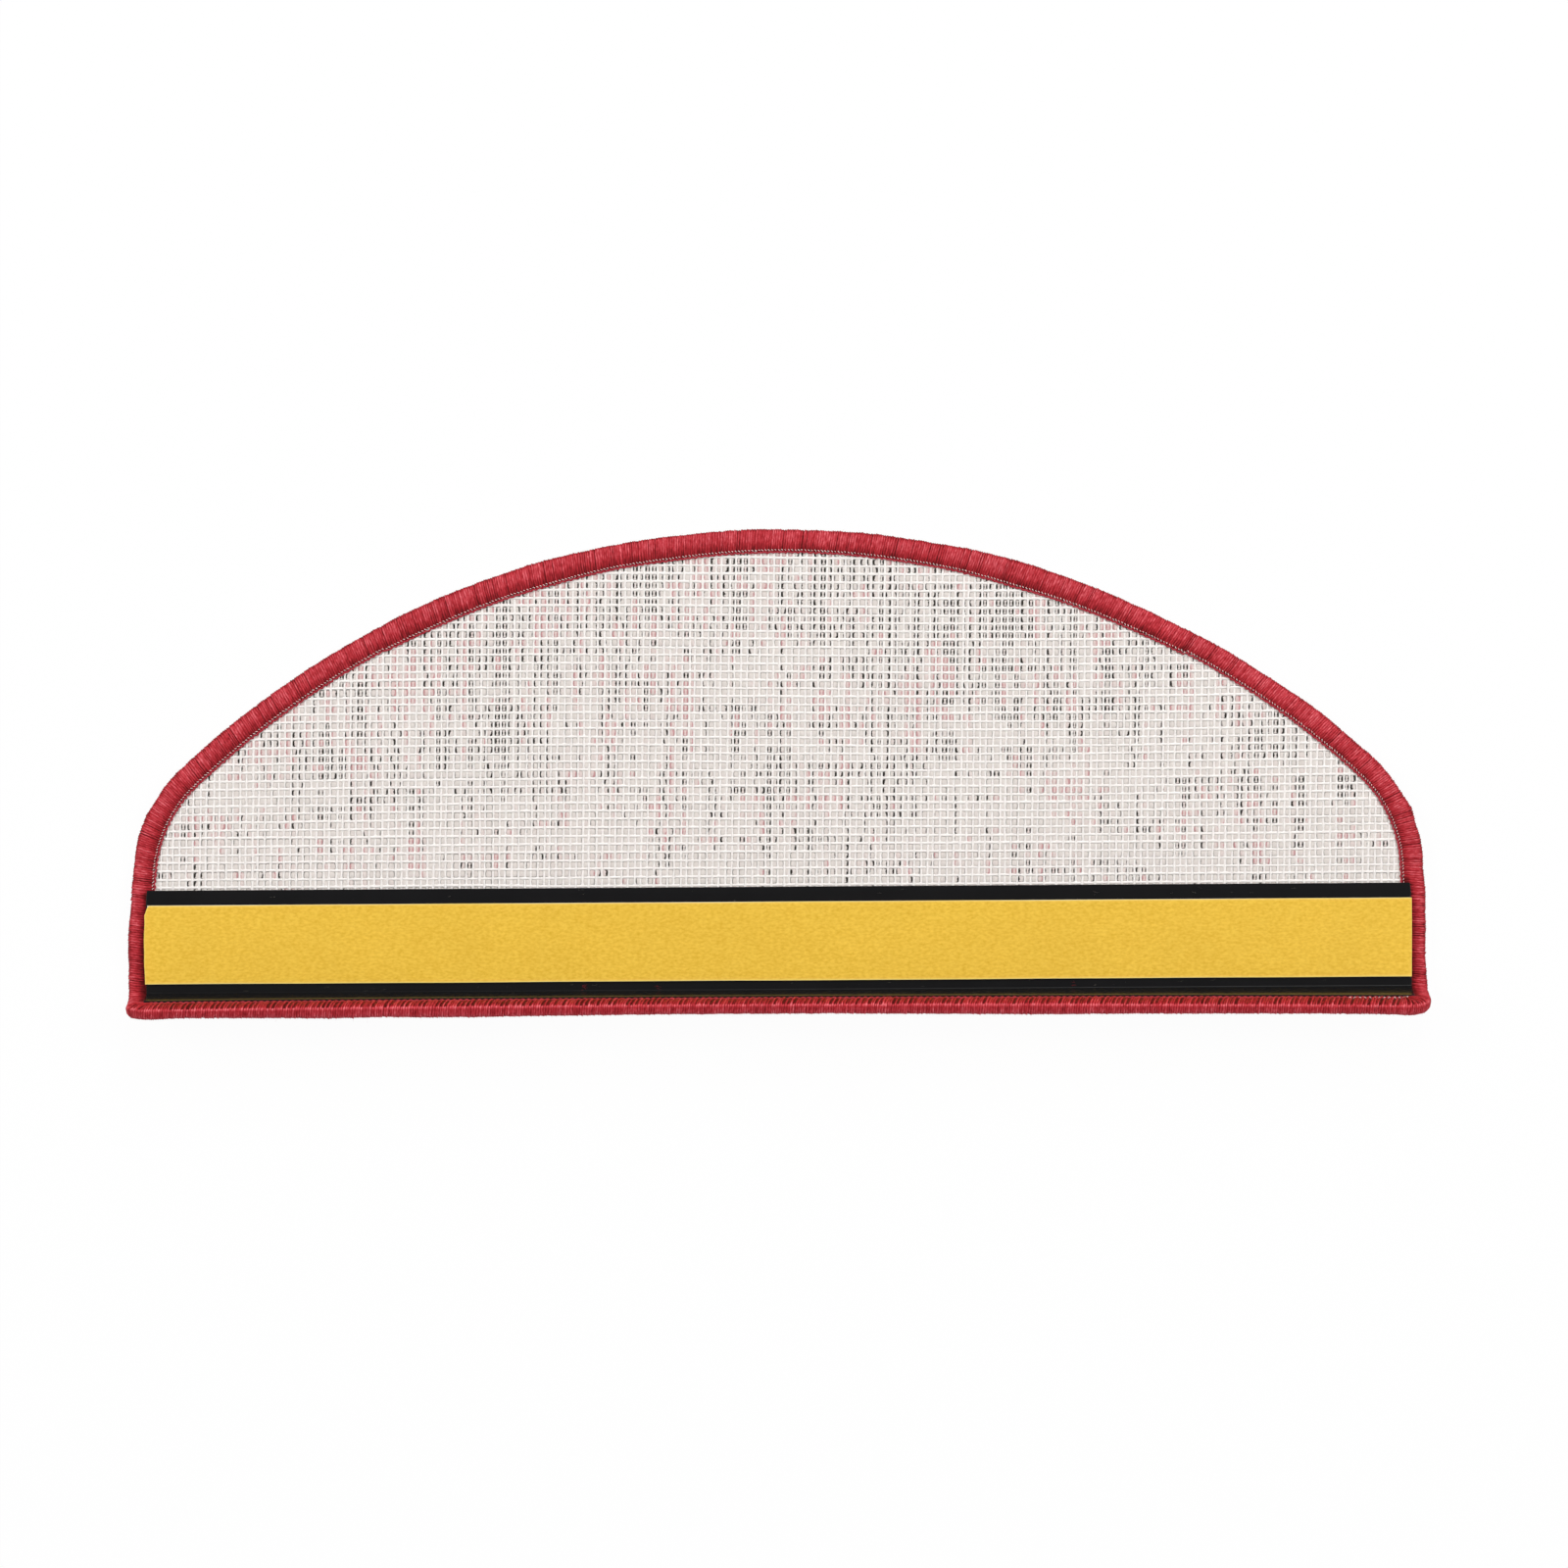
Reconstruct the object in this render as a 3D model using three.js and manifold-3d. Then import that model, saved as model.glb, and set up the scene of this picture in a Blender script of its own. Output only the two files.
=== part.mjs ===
// Half-round stair tread mat, lying with its pile down as it is seen from the underside.
//
// The mat is cut flat and bound, and then folded up at the front round a plastic angle. So each textile
// piece is described in the flat pattern first, by three numbers:
//   u  across the mat, 0 at the middle,
//   v  along the mat, 0 where the fold begins, rising to the top of the arch, negative on the lip,
//   h  height above the tips of the pile.
// fold() then carries a point of the flat pattern to its place on the folded mat. Lengths are millimetres.

import * as THREE from "three";
import { mergeVertices } from "three/addons/utils/BufferGeometryUtils.js";
import Module from "manifold-3d";

const wasm = await Module();
wasm.setup();

// Outline of the bound mat
const matWidth = 650;
const treadDepth = 230;
const shoulderRadius = 77;
const shoulderHeight = 56;
const sideTaper = THREE.MathUtils.degToRad(2);

// Layers of the textile, from the tips of the pile up
const seat = 0.3;
const carpetThickness = 4.2;
const pileDepth = 2.9;
const netThickness = 0.4;
const warpRise = 0.2;
const yarnThickness = 0.7;
const edgeYarnWrap = 2.4;
const wrapSquareness = 3;

// Overlocked edge
const yarnBand = 10.6;
const stitchPitch = 13;
const stitchRise = 0.25;
const seamThread = 0.6;
const seamSwing = 0.25;
const seamPitch = 22;
const seamTurnRadius = 2.55;

// Woven net: a warp ridge on every second thread, and a share of its openings cut right through
const warpPitch = 3.25;
const weftPitch = 4.09;
const warpsPerRidge = 2;
const warpWidth = 1.7;
const warpsPerOpening = 8;
const weftsPerOpening = 6;
const openingWidth = 2.2;
const openingLength = 2.7;

// Plastic angle
const profileEndInset = 8;
const profileThickness = 1.2;
const lipLeg = 19.5;
const profileInnerRadius = 0.6;
const profileCorner = 1;
const lipLean = THREE.MathUtils.degToRad(9);

// Strips that hold the angle to the net
const bondInset = 2;
const bondEndInset = 14;

// Mounting tape and its liner
const tapeWidth = 40;
const tapeThickness = 0.8;
const tapeFromFold = 4;
const tapeFromEdge = 7;
const linerThickness = 0.15;
const linerOverhang = 0.6;
const linerCut = 20;
const linerClip = 2.2;

// Fineness of the round stretches
const foldSteps = 4;
const cornerSteps = 5;
const arcStep = 0.075;
const fewestArcSteps = 4;
const tipShare = 0.3;
const wrapAngles = [90, 45, 0, -45, -90];
const closestSteps = 0.15;

// Heights of the layers, each worked out from the one below it
const netBottom = carpetThickness + seat;
const netTop = netBottom + netThickness;
const warpTop = netTop + warpRise;
const bandBottom = warpTop + seat;
const bandTop = bandBottom + yarnThickness;
const profileBottom = bandTop + seat;
const profileTop = profileBottom + profileThickness;
const rimBottom = carpetThickness - pileDepth;
const lowBandTop = rimBottom - seat;
const foldAxis = profileTop + profileInnerRadius;
const foldAngle = Math.PI / 2 - lipLean;
const foldRadius = foldAxis - netTop;
const foldArc = foldRadius * foldAngle;
const profileLength = matWidth - 2 * profileEndInset;
const treadLeg = tapeFromFold + tapeWidth + tapeFromEdge;

// Insets from the outer face of the edge yarn
const sheetInset = edgeYarnWrap + seat;
const seamInset = yarnBand + seat + seamSwing + seamThread / 2;
const pileInset = yarnBand + seat;

// The seam clears the end of the angle's lip leg, and turns the lip's corner on its own radius.
const rimV = -(foldArc + lipLeg + seamInset + seamThread);
const lipCornerRadius = seamInset + seamTurnRadius;

// A point of the flat pattern, in its place on the folded mat: flat behind the fold, on an arc round the
// fold's axis within it, and straight along the leaning lip past it.
function fold(u, v, h) {
  if (v >= 0) return new THREE.Vector3(u, v, h);
  const radius = foldAxis - h;
  const angle = Math.min(-v / foldRadius, foldAngle);
  const beyond = Math.max(-v - foldArc, 0);
  return new THREE.Vector3(
    u,
    -radius * Math.sin(angle) - beyond * Math.cos(angle),
    foldAxis - radius * Math.cos(angle) + beyond * Math.sin(angle),
  );
}

// Centres of the outline's round stretches on the +u half. Every inset outline shares them. The shoulder
// touches the tapered side, which starts at the fold.
const lipCorner = { u: matWidth / 2 - lipCornerRadius, v: rimV + lipCornerRadius };
const shoulder = {
  u: matWidth / 2 - shoulderRadius / Math.cos(sideTaper) - shoulderHeight * Math.tan(sideTaper),
  v: shoulderHeight,
};

// The arch passes through the top of the mat and touches the shoulder's circle R - r from its centre:
// u^2 + (R - rise)^2 = (R - r)^2, where rise is how far the shoulder's centre lies below the top.
const rise = treadDepth - shoulder.v;
const archRadius =
  (shoulder.u ** 2 + rise ** 2 - shoulderRadius ** 2) / (2 * (rise - shoulderRadius));
const arch = { u: 0, v: treadDepth - archRadius };

// Direction, from the arch's centre, of the point where arch and shoulder meet, measured from +v.
const shoulderAngle = Math.atan2(shoulder.u, shoulder.v - arch.v);

// Stretches of the +u half of an inset outline, from the middle of the rim to the top of the arch. Each has
// its length and a function from 0..1 to a point and the outward direction there.
function halfOutline(inset) {
  const arc = (centre, radius, from, to) => ({
    length: radius * Math.abs(to - from),
    steps: Math.max(fewestArcSteps, Math.ceil(Math.abs(to - from) / arcStep)),
    at: (t) => {
      const angle = from + (to - from) * t;
      const outward = new THREE.Vector2(Math.sin(angle), Math.cos(angle));
      return { point: new THREE.Vector2(centre.u, centre.v).addScaledVector(outward, radius), outward };
    },
  });
  const line = (a, b) => {
    const along = b.clone().sub(a);
    const outward = new THREE.Vector2(along.y, -along.x).normalize();
    return { length: along.length(), steps: 1, at: (t) => ({ point: a.clone().lerp(b, t), outward }) };
  };
  const rimCorner = arc(lipCorner, lipCornerRadius - inset, Math.PI, Math.PI / 2);
  const side = Math.PI / 2 - sideTaper;
  const round = arc(shoulder, shoulderRadius - inset, side, shoulderAngle);
  const top = arc(arch, archRadius - inset, shoulderAngle, 0);
  const kink = new THREE.Vector2(matWidth / 2 - inset, -inset * Math.tan(sideTaper / 2));
  return [
    line(new THREE.Vector2(0, rimV + inset), rimCorner.at(0).point),
    rimCorner,
    line(rimCorner.at(1).point, kink),
    line(kink, round.at(0).point),
    round,
    top,
  ];
}

// Stations up one side of a folded sheet, as half-width and v, with the steps of the fold among them. The
// last one stops just short of the top of the arch, so that the sheet ends in a short straight edge.
function sheetStations(inset) {
  const corners = halfOutline(inset).slice(1);
  const stations = [];
  corners.forEach((stretch, number) => {
    const last = number === corners.length - 1;
    for (let i = 0; i < stretch.steps; i += 1) {
      const { point } = stretch.at(i / stretch.steps);
      stations.push({ half: point.x, v: point.y });
    }
    if (last) {
      const { point } = stretch.at(1 - tipShare / stretch.steps);
      stations.push({ half: point.x, v: point.y });
    }
  });
  return withFoldSteps(stations);
}

// Adds the steps of the fold to a list of stations sorted by v, at the half-width found between neighbours.
function withFoldSteps(stations) {
  const added = [];
  for (let i = 0; i <= foldSteps; i += 1) {
    const v = (-foldArc * i) / foldSteps;
    const next = stations.findIndex((station) => station.v > v);
    if (next < 1 || stations.some((station) => Math.abs(station.v - v) < 0.01)) continue;
    const [a, b] = [stations[next - 1], stations[next]];
    added.push({ half: a.half + ((b.half - a.half) * (v - a.v)) / (b.v - a.v), v });
  }
  return [...stations, ...added].sort((a, b) => a.v - b.v);
}

// A closed geometry through rings of points with equally many points each. The ends are capped, or joined
// to each other where the rings run round a loop.
function throughRings(rings, loop = false) {
  const count = rings[0].length;
  const positions = rings.flat().flatMap((p) => [p.x, p.y, p.z]);
  const index = [];
  const bands = loop ? rings.length : rings.length - 1;
  for (let r = 0; r < bands; r += 1) {
    const here = r * count;
    const there = ((r + 1) % rings.length) * count;
    for (let i = 0; i < count; i += 1) {
      const next = (i + 1) % count;
      index.push(here + i, here + next, there + next, here + i, there + next, there + i);
    }
  }
  if (!loop) {
    const end = (rings.length - 1) * count;
    for (let i = 1; i < count - 1; i += 1) {
      index.push(0, i + 1, i, end, end + i, end + i + 1);
    }
  }
  const geometry = new THREE.BufferGeometry();
  geometry.setAttribute("position", new THREE.Float32BufferAttribute(positions, 3));
  geometry.setIndex(index);
  return facingOut(geometry);
}

// Turns every face round if the geometry encloses a negative volume.
function facingOut(geometry) {
  const p = geometry.getAttribute("position");
  const index = Array.from(geometry.index.array);
  const corner = (i) => new THREE.Vector3().fromBufferAttribute(p, index[i]);
  let volume = 0;
  for (let i = 0; i < index.length; i += 3) {
    volume += corner(i).dot(corner(i + 1).cross(corner(i + 2)));
  }
  if (volume < 0) index.reverse();
  geometry.setIndex(index);
  return geometry;
}

// A sheet between two heights, folded with the mat.
function foldedSheet(stations, low, high) {
  const rings = stations.map(({ half, v }) => [
    fold(-half, v, low),
    fold(half, v, low),
    fold(half, v, high),
    fold(-half, v, high),
  ]);
  return throughRings(rings);
}

function asSolid(geometry) {
  const bare = geometry.clone();
  bare.deleteAttribute("normal");
  bare.deleteAttribute("uv");
  const merged = mergeVertices(bare, 1e-4);
  return new wasm.Manifold(
    new wasm.Mesh({
      numProp: 3,
      vertProperties: merged.getAttribute("position").array,
      triVerts: new Uint32Array(merged.index.array),
    }),
  );
}

function asGeometry(solid) {
  const mesh = solid.getMesh();
  const geometry = new THREE.BufferGeometry();
  geometry.setAttribute("position", new THREE.BufferAttribute(mesh.vertProperties, 3));
  geometry.setIndex(new THREE.BufferAttribute(mesh.triVerts, 1));
  return geometry;
}

// The carpet: its rim is pressed thin under the edge yarn, and the pile stands full inside it.
function carpetGeometry() {
  const rim = foldedSheet(sheetStations(sheetInset), rimBottom, carpetThickness);
  const pile = foldedSheet(sheetStations(pileInset), 0, carpetThickness - seat);
  return asGeometry(asSolid(rim).add(asSolid(pile)));
}

// How far up the mat the outline at this inset reaches at a distance u from the middle.
function reachAt(u, inset) {
  const onArch = Math.abs(u) < arch.u + (archRadius - inset) * Math.sin(shoulderAngle);
  const centre = onArch ? arch : shoulder;
  const radius = (onArch ? archRadius : shoulderRadius) - inset;
  return centre.v + Math.sqrt(Math.max(radius ** 2 - (Math.abs(u) - centre.u) ** 2, 0));
}

// The bonded net: a thin sheet with warp ridges where it shows, and openings between them.
function netGeometry() {
  let net = asSolid(foldedSheet(sheetStations(sheetInset), netBottom, netTop));
  const clear = seamInset + seamThread;
  const start = treadLeg + seat;
  const ridgePitch = warpPitch * warpsPerRidge;
  const sink = netThickness / 2;
  const ridges = Math.floor((matWidth / 2 - clear - warpWidth) / ridgePitch);
  for (let i = -ridges; i <= ridges; i += 1) {
    const u = i * ridgePitch;
    const end = reachAt(Math.abs(u) + warpWidth / 2, clear);
    if (end - start < ridgePitch) continue;
    const ring = (v) => [
      fold(u - warpWidth / 2, v, netTop - sink),
      fold(u + warpWidth / 2, v, netTop - sink),
      fold(u, v, warpTop),
    ];
    net = net.add(asSolid(throughRings([ring(start), ring(end)])));
  }
  return asGeometry(net.subtract(netOpenings(start, clear)));
}

// Openings stand between two ridges, on a regular grid of threads that the outline cuts off.
function netOpenings(start, clear) {
  const columnPitch = warpPitch * warpsPerOpening;
  const rowPitch = weftPitch * weftsPerOpening;
  const columns = Math.ceil(matWidth / 2 / columnPitch);
  const boxes = [];
  for (let v = start + rowPitch / 2; v < treadDepth - clear; v += rowPitch) {
    for (let u = warpPitch - columnPitch * columns; u < matWidth / 2; u += columnPitch) {
      const edge = Math.abs(u) + openingWidth;
      if (edge > matWidth / 2 - clear - warpPitch || reachAt(edge, clear) < v + openingLength) continue;
      const box = new THREE.BoxGeometry(openingWidth, openingLength, 2 * (warpTop - netBottom));
      boxes.push(asSolid(box.translate(u, v, netTop)));
    }
  }
  return boxes.reduce((all, box) => all.add(box));
}

// Section of the edge yarn as inset and height: it wraps the rim of carpet and net like a letter U. Its
// outside is half a squared ellipse, |x|^n + |y|^n = 1, which moves out by rise: that is what one bundle of
// stitches stands above the next.
function yarnSection(rise) {
  const out = stitchRise - rise;
  const low = out;
  const high = bandTop - out;
  const round = (high - low) / 2;
  const squared = (x) => Math.sign(x) * Math.abs(x) ** (2 / wrapSquareness);
  const outside = wrapAngles.map((degrees) => {
    const angle = THREE.MathUtils.degToRad(degrees);
    return [out + edgeYarnWrap * (1 - squared(Math.cos(angle))), low + round * (1 + squared(Math.sin(angle)))];
  });
  return [
    [yarnBand, high - yarnThickness / 4],
    ...outside,
    [yarnBand, low],
    [yarnBand, lowBandTop],
    [edgeYarnWrap, lowBandTop],
    [edgeYarnWrap, bandBottom],
    [yarnBand, bandBottom],
  ];
}

// Places along the whole closed outline, as a distance from the middle of the rim, running round by +u.
function aroundOutline() {
  const half = halfOutline(0);
  const length = half.reduce((sum, stretch) => sum + stretch.length, 0);
  const at = (distance) => {
    const mirrored = distance > length;
    let rest = mirrored ? 2 * length - distance : distance;
    let stretch = half[0];
    for (stretch of half) {
      if (rest <= stretch.length || stretch === half.at(-1)) break;
      rest -= stretch.length;
    }
    const { point, outward } = stretch.at(Math.min(rest / stretch.length, 1));
    const side = mirrored ? -1 : 1;
    return {
      point: new THREE.Vector2(side * point.x, point.y),
      outward: new THREE.Vector2(side * outward.x, outward.y),
    };
  };
  return { at, length: 2 * length };
}

// Distances along the outline: evenly spaced, two in each pitch, with the steps of both folds and both lip
// corners added. An even one that lies too close to an added one is left out.
function outlineDistances(pitch) {
  const { length } = aroundOutline();
  const count = 2 * Math.round(length / pitch);
  const even = Array.from({ length: count }, (_, i) => (i * length) / count);
  const [rim, corner, lipSide] = halfOutline(0);
  const foldEnd = rim.length + corner.length + lipSide.length;
  const added = [];
  const addBoth = (distance) => added.push(distance, length - distance);
  for (let i = 0; i <= cornerSteps; i += 1) addBoth(rim.length + (corner.length * i) / cornerSteps);
  for (let i = 0; i <= foldSteps; i += 1) addBoth(foldEnd - (foldArc * i) / foldSteps);
  const apart = (pitch / 2) * closestSteps;
  const kept = even.filter((distance) => added.every((other) => Math.abs(other - distance) > apart));
  return [...kept, ...added].sort((a, b) => a - b);
}

// A wave between 0 and 1 that rises and falls once in each pitch, fitted to the whole outline.
function stitchWave(distance, pitch) {
  const { length } = aroundOutline();
  const phase = ((distance / length) * Math.round(length / pitch)) % 1;
  return 1 - Math.abs(2 * phase - 1);
}

// A ring of section points, each given as inset and height, at one distance along the outline.
function sectionRing(place, section) {
  return section.map(([inset, h]) => {
    const p = place.point.clone().addScaledVector(place.outward, -inset);
    return fold(p.x, p.y, h);
  });
}

function edgeYarnGeometry() {
  const outline = aroundOutline();
  const rings = outlineDistances(stitchPitch).map((distance) =>
    sectionRing(outline.at(distance), yarnSection(stitchRise * stitchWave(distance, stitchPitch))),
  );
  return throughRings(rings, true);
}

// The seam thread swings from side to side along the inner edge of the yarn and lies on the net.
function seamThreadGeometry() {
  const outline = aroundOutline();
  const low = netTop + seat;
  const rings = outlineDistances(seamPitch).map((distance) => {
    const inset = seamInset + seamSwing * (2 * stitchWave(distance, seamPitch) - 1);
    return sectionRing(outline.at(distance), [
      [inset - seamThread / 2, low],
      [inset + seamThread / 2, low],
      [inset + seamThread / 2, low + seamThread],
      [inset - seamThread / 2, low + seamThread],
    ]);
  });
  return throughRings(rings, true);
}

// Stations of a straight strip of constant width across the fold, from the lip to the tread.
function stripStations(half, fromV, toV) {
  return withFoldSteps([
    { half, v: fromV },
    { half, v: toV },
  ]);
}

function profileGeometry() {
  const half = profileLength / 2;
  const stations = stripStations(half, -(foldArc + lipLeg), treadLeg - profileCorner);
  stations.push({ half: half - profileCorner, v: treadLeg });
  return foldedSheet(stations, profileBottom, profileTop);
}

function bondStripGeometry(fromV, toV, high) {
  const stations = [fromV, toV].map((v) => ({ half: profileLength / 2 - bondEndInset, v }));
  return foldedSheet(stations, netTop + seat, high);
}

function tapeGeometry() {
  const tape = new THREE.BoxGeometry(profileLength, tapeWidth, tapeThickness);
  return tape.translate(0, tapeFromFold + tapeWidth / 2, profileTop + tapeThickness / 2);
}

// The liner is cut by hand a little longer than the tape at one end, with its corner clipped there.
function linerGeometry() {
  const half = profileLength / 2;
  const left = -half - linerOverhang;
  const top = tapeFromFold + tapeWidth;
  const shape = new THREE.Shape();
  shape.moveTo(-half, tapeFromFold);
  shape.lineTo(half, tapeFromFold);
  shape.lineTo(half, top);
  shape.lineTo(left + linerClip, top);
  shape.lineTo(left, top - linerClip);
  shape.lineTo(left, top - linerCut);
  const liner = new THREE.ExtrudeGeometry(shape, { depth: linerThickness, bevelEnabled: false });
  return liner.translate(0, 0, profileTop + tapeThickness);
}

const materials = {
  carpet: { color: 0x8f2a36, roughness: 0.95 },
  net: { color: 0xece7df, roughness: 0.7 },
  yarn: { color: 0xb02f40, roughness: 0.8 },
  thread: { color: 0xd9a3a6, roughness: 0.6 },
  plastic: { color: 0x1a1a1b, roughness: 0.35 },
  adhesive: { color: 0xcfc6b0, roughness: 0.6 },
  foam: { color: 0xe6e2d6, roughness: 0.9 },
  liner: { color: 0xebc044, roughness: 0.6 },
};

function piece(name, geometry, finish) {
  const material = new THREE.MeshStandardMaterial({ metalness: 0, ...materials[finish] });
  const mesh = new THREE.Mesh(geometry, material);
  mesh.name = name;
  return mesh;
}

const bondTreadEnd = treadLeg - bondInset;
const lipStart = -foldArc - bondInset;
const lipEnd = -foldArc - lipLeg + bondInset;

const mat = new THREE.Group();
mat.add(
  piece("carpet", carpetGeometry(), "carpet"),
  piece("backing_net", netGeometry(), "net"),
  piece("edge_yarn", edgeYarnGeometry(), "yarn"),
  piece("seam_thread", seamThreadGeometry(), "thread"),
  piece("angle_profile", profileGeometry(), "plastic"),
  piece("bond_strip_tread", bondStripGeometry(bondInset, bondTreadEnd, profileBottom), "adhesive"),
  piece("bond_strip_lip", bondStripGeometry(lipEnd, lipStart, profileBottom - seat), "adhesive"),
  piece("mounting_tape", tapeGeometry(), "foam"),
  piece("release_liner", linerGeometry(), "liner"),
);

// The origin is the middle of the mat's bounding box, on the plane that the pile lies on.
const box = new THREE.Box3().setFromObject(mat);
mat.position.y = -(box.min.y + box.max.y) / 2;

const stairTreadMat = new THREE.Group();
stairTreadMat.add(mat);

export default stairTreadMat;
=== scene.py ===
# %% [markdown]
# # A half-round stair tread mat, seen from its underside
#
# The mat is a piece of carpet with a woven net bonded to its back, overlocked with red yarn all round, and
# folded at its front round a black plastic angle. A yellow liner covers the tape that will stick it to the
# stair. Everything textile is described first as it lies in the cutter's pattern: `u` runs across the mat,
# `v` runs up it from the fold, and `h` is the height above the tips of the pile. One function then folds that
# pattern into the real shape, so every layer bends together.
#
# Lengths are written in millimetres and become metres where a mesh is made.

from functools import partialmethod

import bpy
import numpy as np
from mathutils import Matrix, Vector


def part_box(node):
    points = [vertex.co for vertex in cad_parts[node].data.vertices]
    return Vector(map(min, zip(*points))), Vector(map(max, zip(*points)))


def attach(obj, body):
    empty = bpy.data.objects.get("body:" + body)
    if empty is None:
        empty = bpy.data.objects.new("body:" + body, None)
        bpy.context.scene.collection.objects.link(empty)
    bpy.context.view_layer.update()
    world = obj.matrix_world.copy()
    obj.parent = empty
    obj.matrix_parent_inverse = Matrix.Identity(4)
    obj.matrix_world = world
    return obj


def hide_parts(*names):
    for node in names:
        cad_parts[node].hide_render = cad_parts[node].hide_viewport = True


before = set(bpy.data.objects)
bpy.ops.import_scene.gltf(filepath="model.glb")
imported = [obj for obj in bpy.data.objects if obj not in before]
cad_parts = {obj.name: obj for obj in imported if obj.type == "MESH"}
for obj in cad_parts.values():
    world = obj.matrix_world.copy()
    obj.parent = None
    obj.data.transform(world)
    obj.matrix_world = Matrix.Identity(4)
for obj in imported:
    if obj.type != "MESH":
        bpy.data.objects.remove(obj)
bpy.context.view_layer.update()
MM = 0.001
print("frame holds", sorted(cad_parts))

# %% [markdown]
# ## The pattern's own sizes
#
# The outline is built of straight stretches and arcs, as a maker would draw it with a compass: a straight
# rim, a small corner at each end of the lip, sides that lean in a little, a round shoulder, and one big arch.
# The width and the place of the fold are read off the frame, so they can't drift from it.

# %% Sizes of the pattern
yarn_low, yarn_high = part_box("edge_yarn")
HALF_WIDTH = (yarn_high.x - yarn_low.x) / 2 / MM
TREAD_DEPTH = 230.0
FOLD_LINE = yarn_high.y / MM - TREAD_DEPTH
SHOULDER_RADIUS, SHOULDER_HEIGHT = 77.0, 56.0
SIDE_TAPER = np.radians(2.0)

CARPET_LOW, CARPET_HIGH = 2.9, 4.2
NET_LOW, NET_MIDDLE, NET_TOP = 4.5, 4.8, 4.9
PROFILE_BOTTOM = 6.4
PROFILE_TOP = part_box("mounting_tape")[0].z / MM
FOLD_AXIS = PROFILE_TOP + 0.6
FOLD_RADIUS = FOLD_AXIS - NET_TOP

LIP_LEG, TREAD_LEG = 19.5, 51.0
SEAM_INSET = 11.45
CAD_LEAN = np.radians(9.0)
LEAN_ARC = FOLD_RADIUS * (np.pi / 2 - CAD_LEAN)
RIM_V = -(LEAN_ARC + LIP_LEG + SEAM_INSET + 0.6)
LIP_CORNER = SEAM_INSET + 2.55
print(f"half width {HALF_WIDTH:.1f}, fold at y {FOLD_LINE:.2f}, rim at v {RIM_V:.2f}")

# %% Centres of the arcs
shoulder_u = HALF_WIDTH - SHOULDER_RADIUS / np.cos(SIDE_TAPER) - SHOULDER_HEIGHT * np.tan(SIDE_TAPER)
rise = TREAD_DEPTH - SHOULDER_HEIGHT
ARCH_RADIUS = (shoulder_u**2 + rise**2 - SHOULDER_RADIUS**2) / (2 * (rise - SHOULDER_RADIUS))
ARCH_V = TREAD_DEPTH - ARCH_RADIUS
SHOULDER_ANGLE = np.arctan2(shoulder_u, SHOULDER_HEIGHT - ARCH_V)
SIDE_ANGLE = np.pi / 2 - SIDE_TAPER
CORNER = (HALF_WIDTH - LIP_CORNER, RIM_V + LIP_CORNER)
SHOULDER, ARCH = (shoulder_u, SHOULDER_HEIGHT), (0.0, ARCH_V)
print(f"arch radius {ARCH_RADIUS:.1f}, shoulder centre at u {shoulder_u:.1f}")

# %% [markdown]
# ## Walking round the outline
#
# The overlock stitches march round the edge, so they need a way to ask: where am I after so many
# millimetres, and which way is out? Half of the outline is a list of stretches. An arc is given by its
# centre, its radius and the two outward angles it runs between. A straight stretch has no centre, and runs
# between two of the stops. `np.select` picks the stretch for a whole array of distances at once.


# %% The outline by distance
def ray(centre, radius, angle):
    """Point at this outward angle, measured from +v, on a circle."""
    return np.stack([centre[0] + radius * np.sin(angle), centre[1] + radius * np.cos(angle)], axis=-1)


stretches = [
    (None, 0.0, np.pi, np.pi),
    (CORNER, LIP_CORNER, np.pi, np.pi / 2),
    (None, 0.0, np.pi / 2, np.pi / 2),
    (None, 0.0, SIDE_ANGLE, SIDE_ANGLE),
    (SHOULDER, SHOULDER_RADIUS, SIDE_ANGLE, SHOULDER_ANGLE),
    (ARCH, ARCH_RADIUS, SHOULDER_ANGLE, 0.0),
]
stops = [
    np.array([0.0, RIM_V]),
    ray(CORNER, LIP_CORNER, np.pi),
    ray(CORNER, LIP_CORNER, np.pi / 2),
    np.array([HALF_WIDTH, 0.0]),
    ray(SHOULDER, SHOULDER_RADIUS, SIDE_ANGLE),
    ray(SHOULDER, SHOULDER_RADIUS, SHOULDER_ANGLE),
    np.array([0.0, TREAD_DEPTH]),
]
lengths = [
    np.linalg.norm(after - before) if centre is None else radius * abs(first - last)
    for before, after, (centre, radius, first, last) in zip(stops, stops[1:], stretches)
]
ends = np.cumsum(lengths)
HALF_LENGTH = ends[-1]


def around(distance):
    """Point and outward direction at each distance from the middle of the rim, running round by +u.

    The far half mirrors the near one: distance d past the top of the arch is the mirror of L - d.
    """
    distance = np.mod(distance, 2 * HALF_LENGTH)
    mirrored = distance > HALF_LENGTH
    along = np.where(mirrored, 2 * HALF_LENGTH - distance, distance)
    points, outwards = [], []
    for i, (centre, radius, first, last) in enumerate(stretches):
        t = (along - (ends[i] - lengths[i])) / lengths[i]
        angle = first + (last - first) * t
        straight = stops[i] + (stops[i + 1] - stops[i]) * t[..., None]
        points.append(straight if centre is None else ray(centre, radius, angle))
        outwards.append(ray((0.0, 0.0), 1.0, angle))
    chosen = [(along <= end)[..., None] for end in ends[:-1]]
    mirror = np.where(mirrored, -1.0, 1.0)[..., None] * [1.0, 0.0] + [0.0, 1.0]
    return tuple(np.select(chosen, values[:-1], values[-1]) * mirror for values in (points, outwards))


print(f"the edge is {2 * HALF_LENGTH:.0f} mm long")


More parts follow.
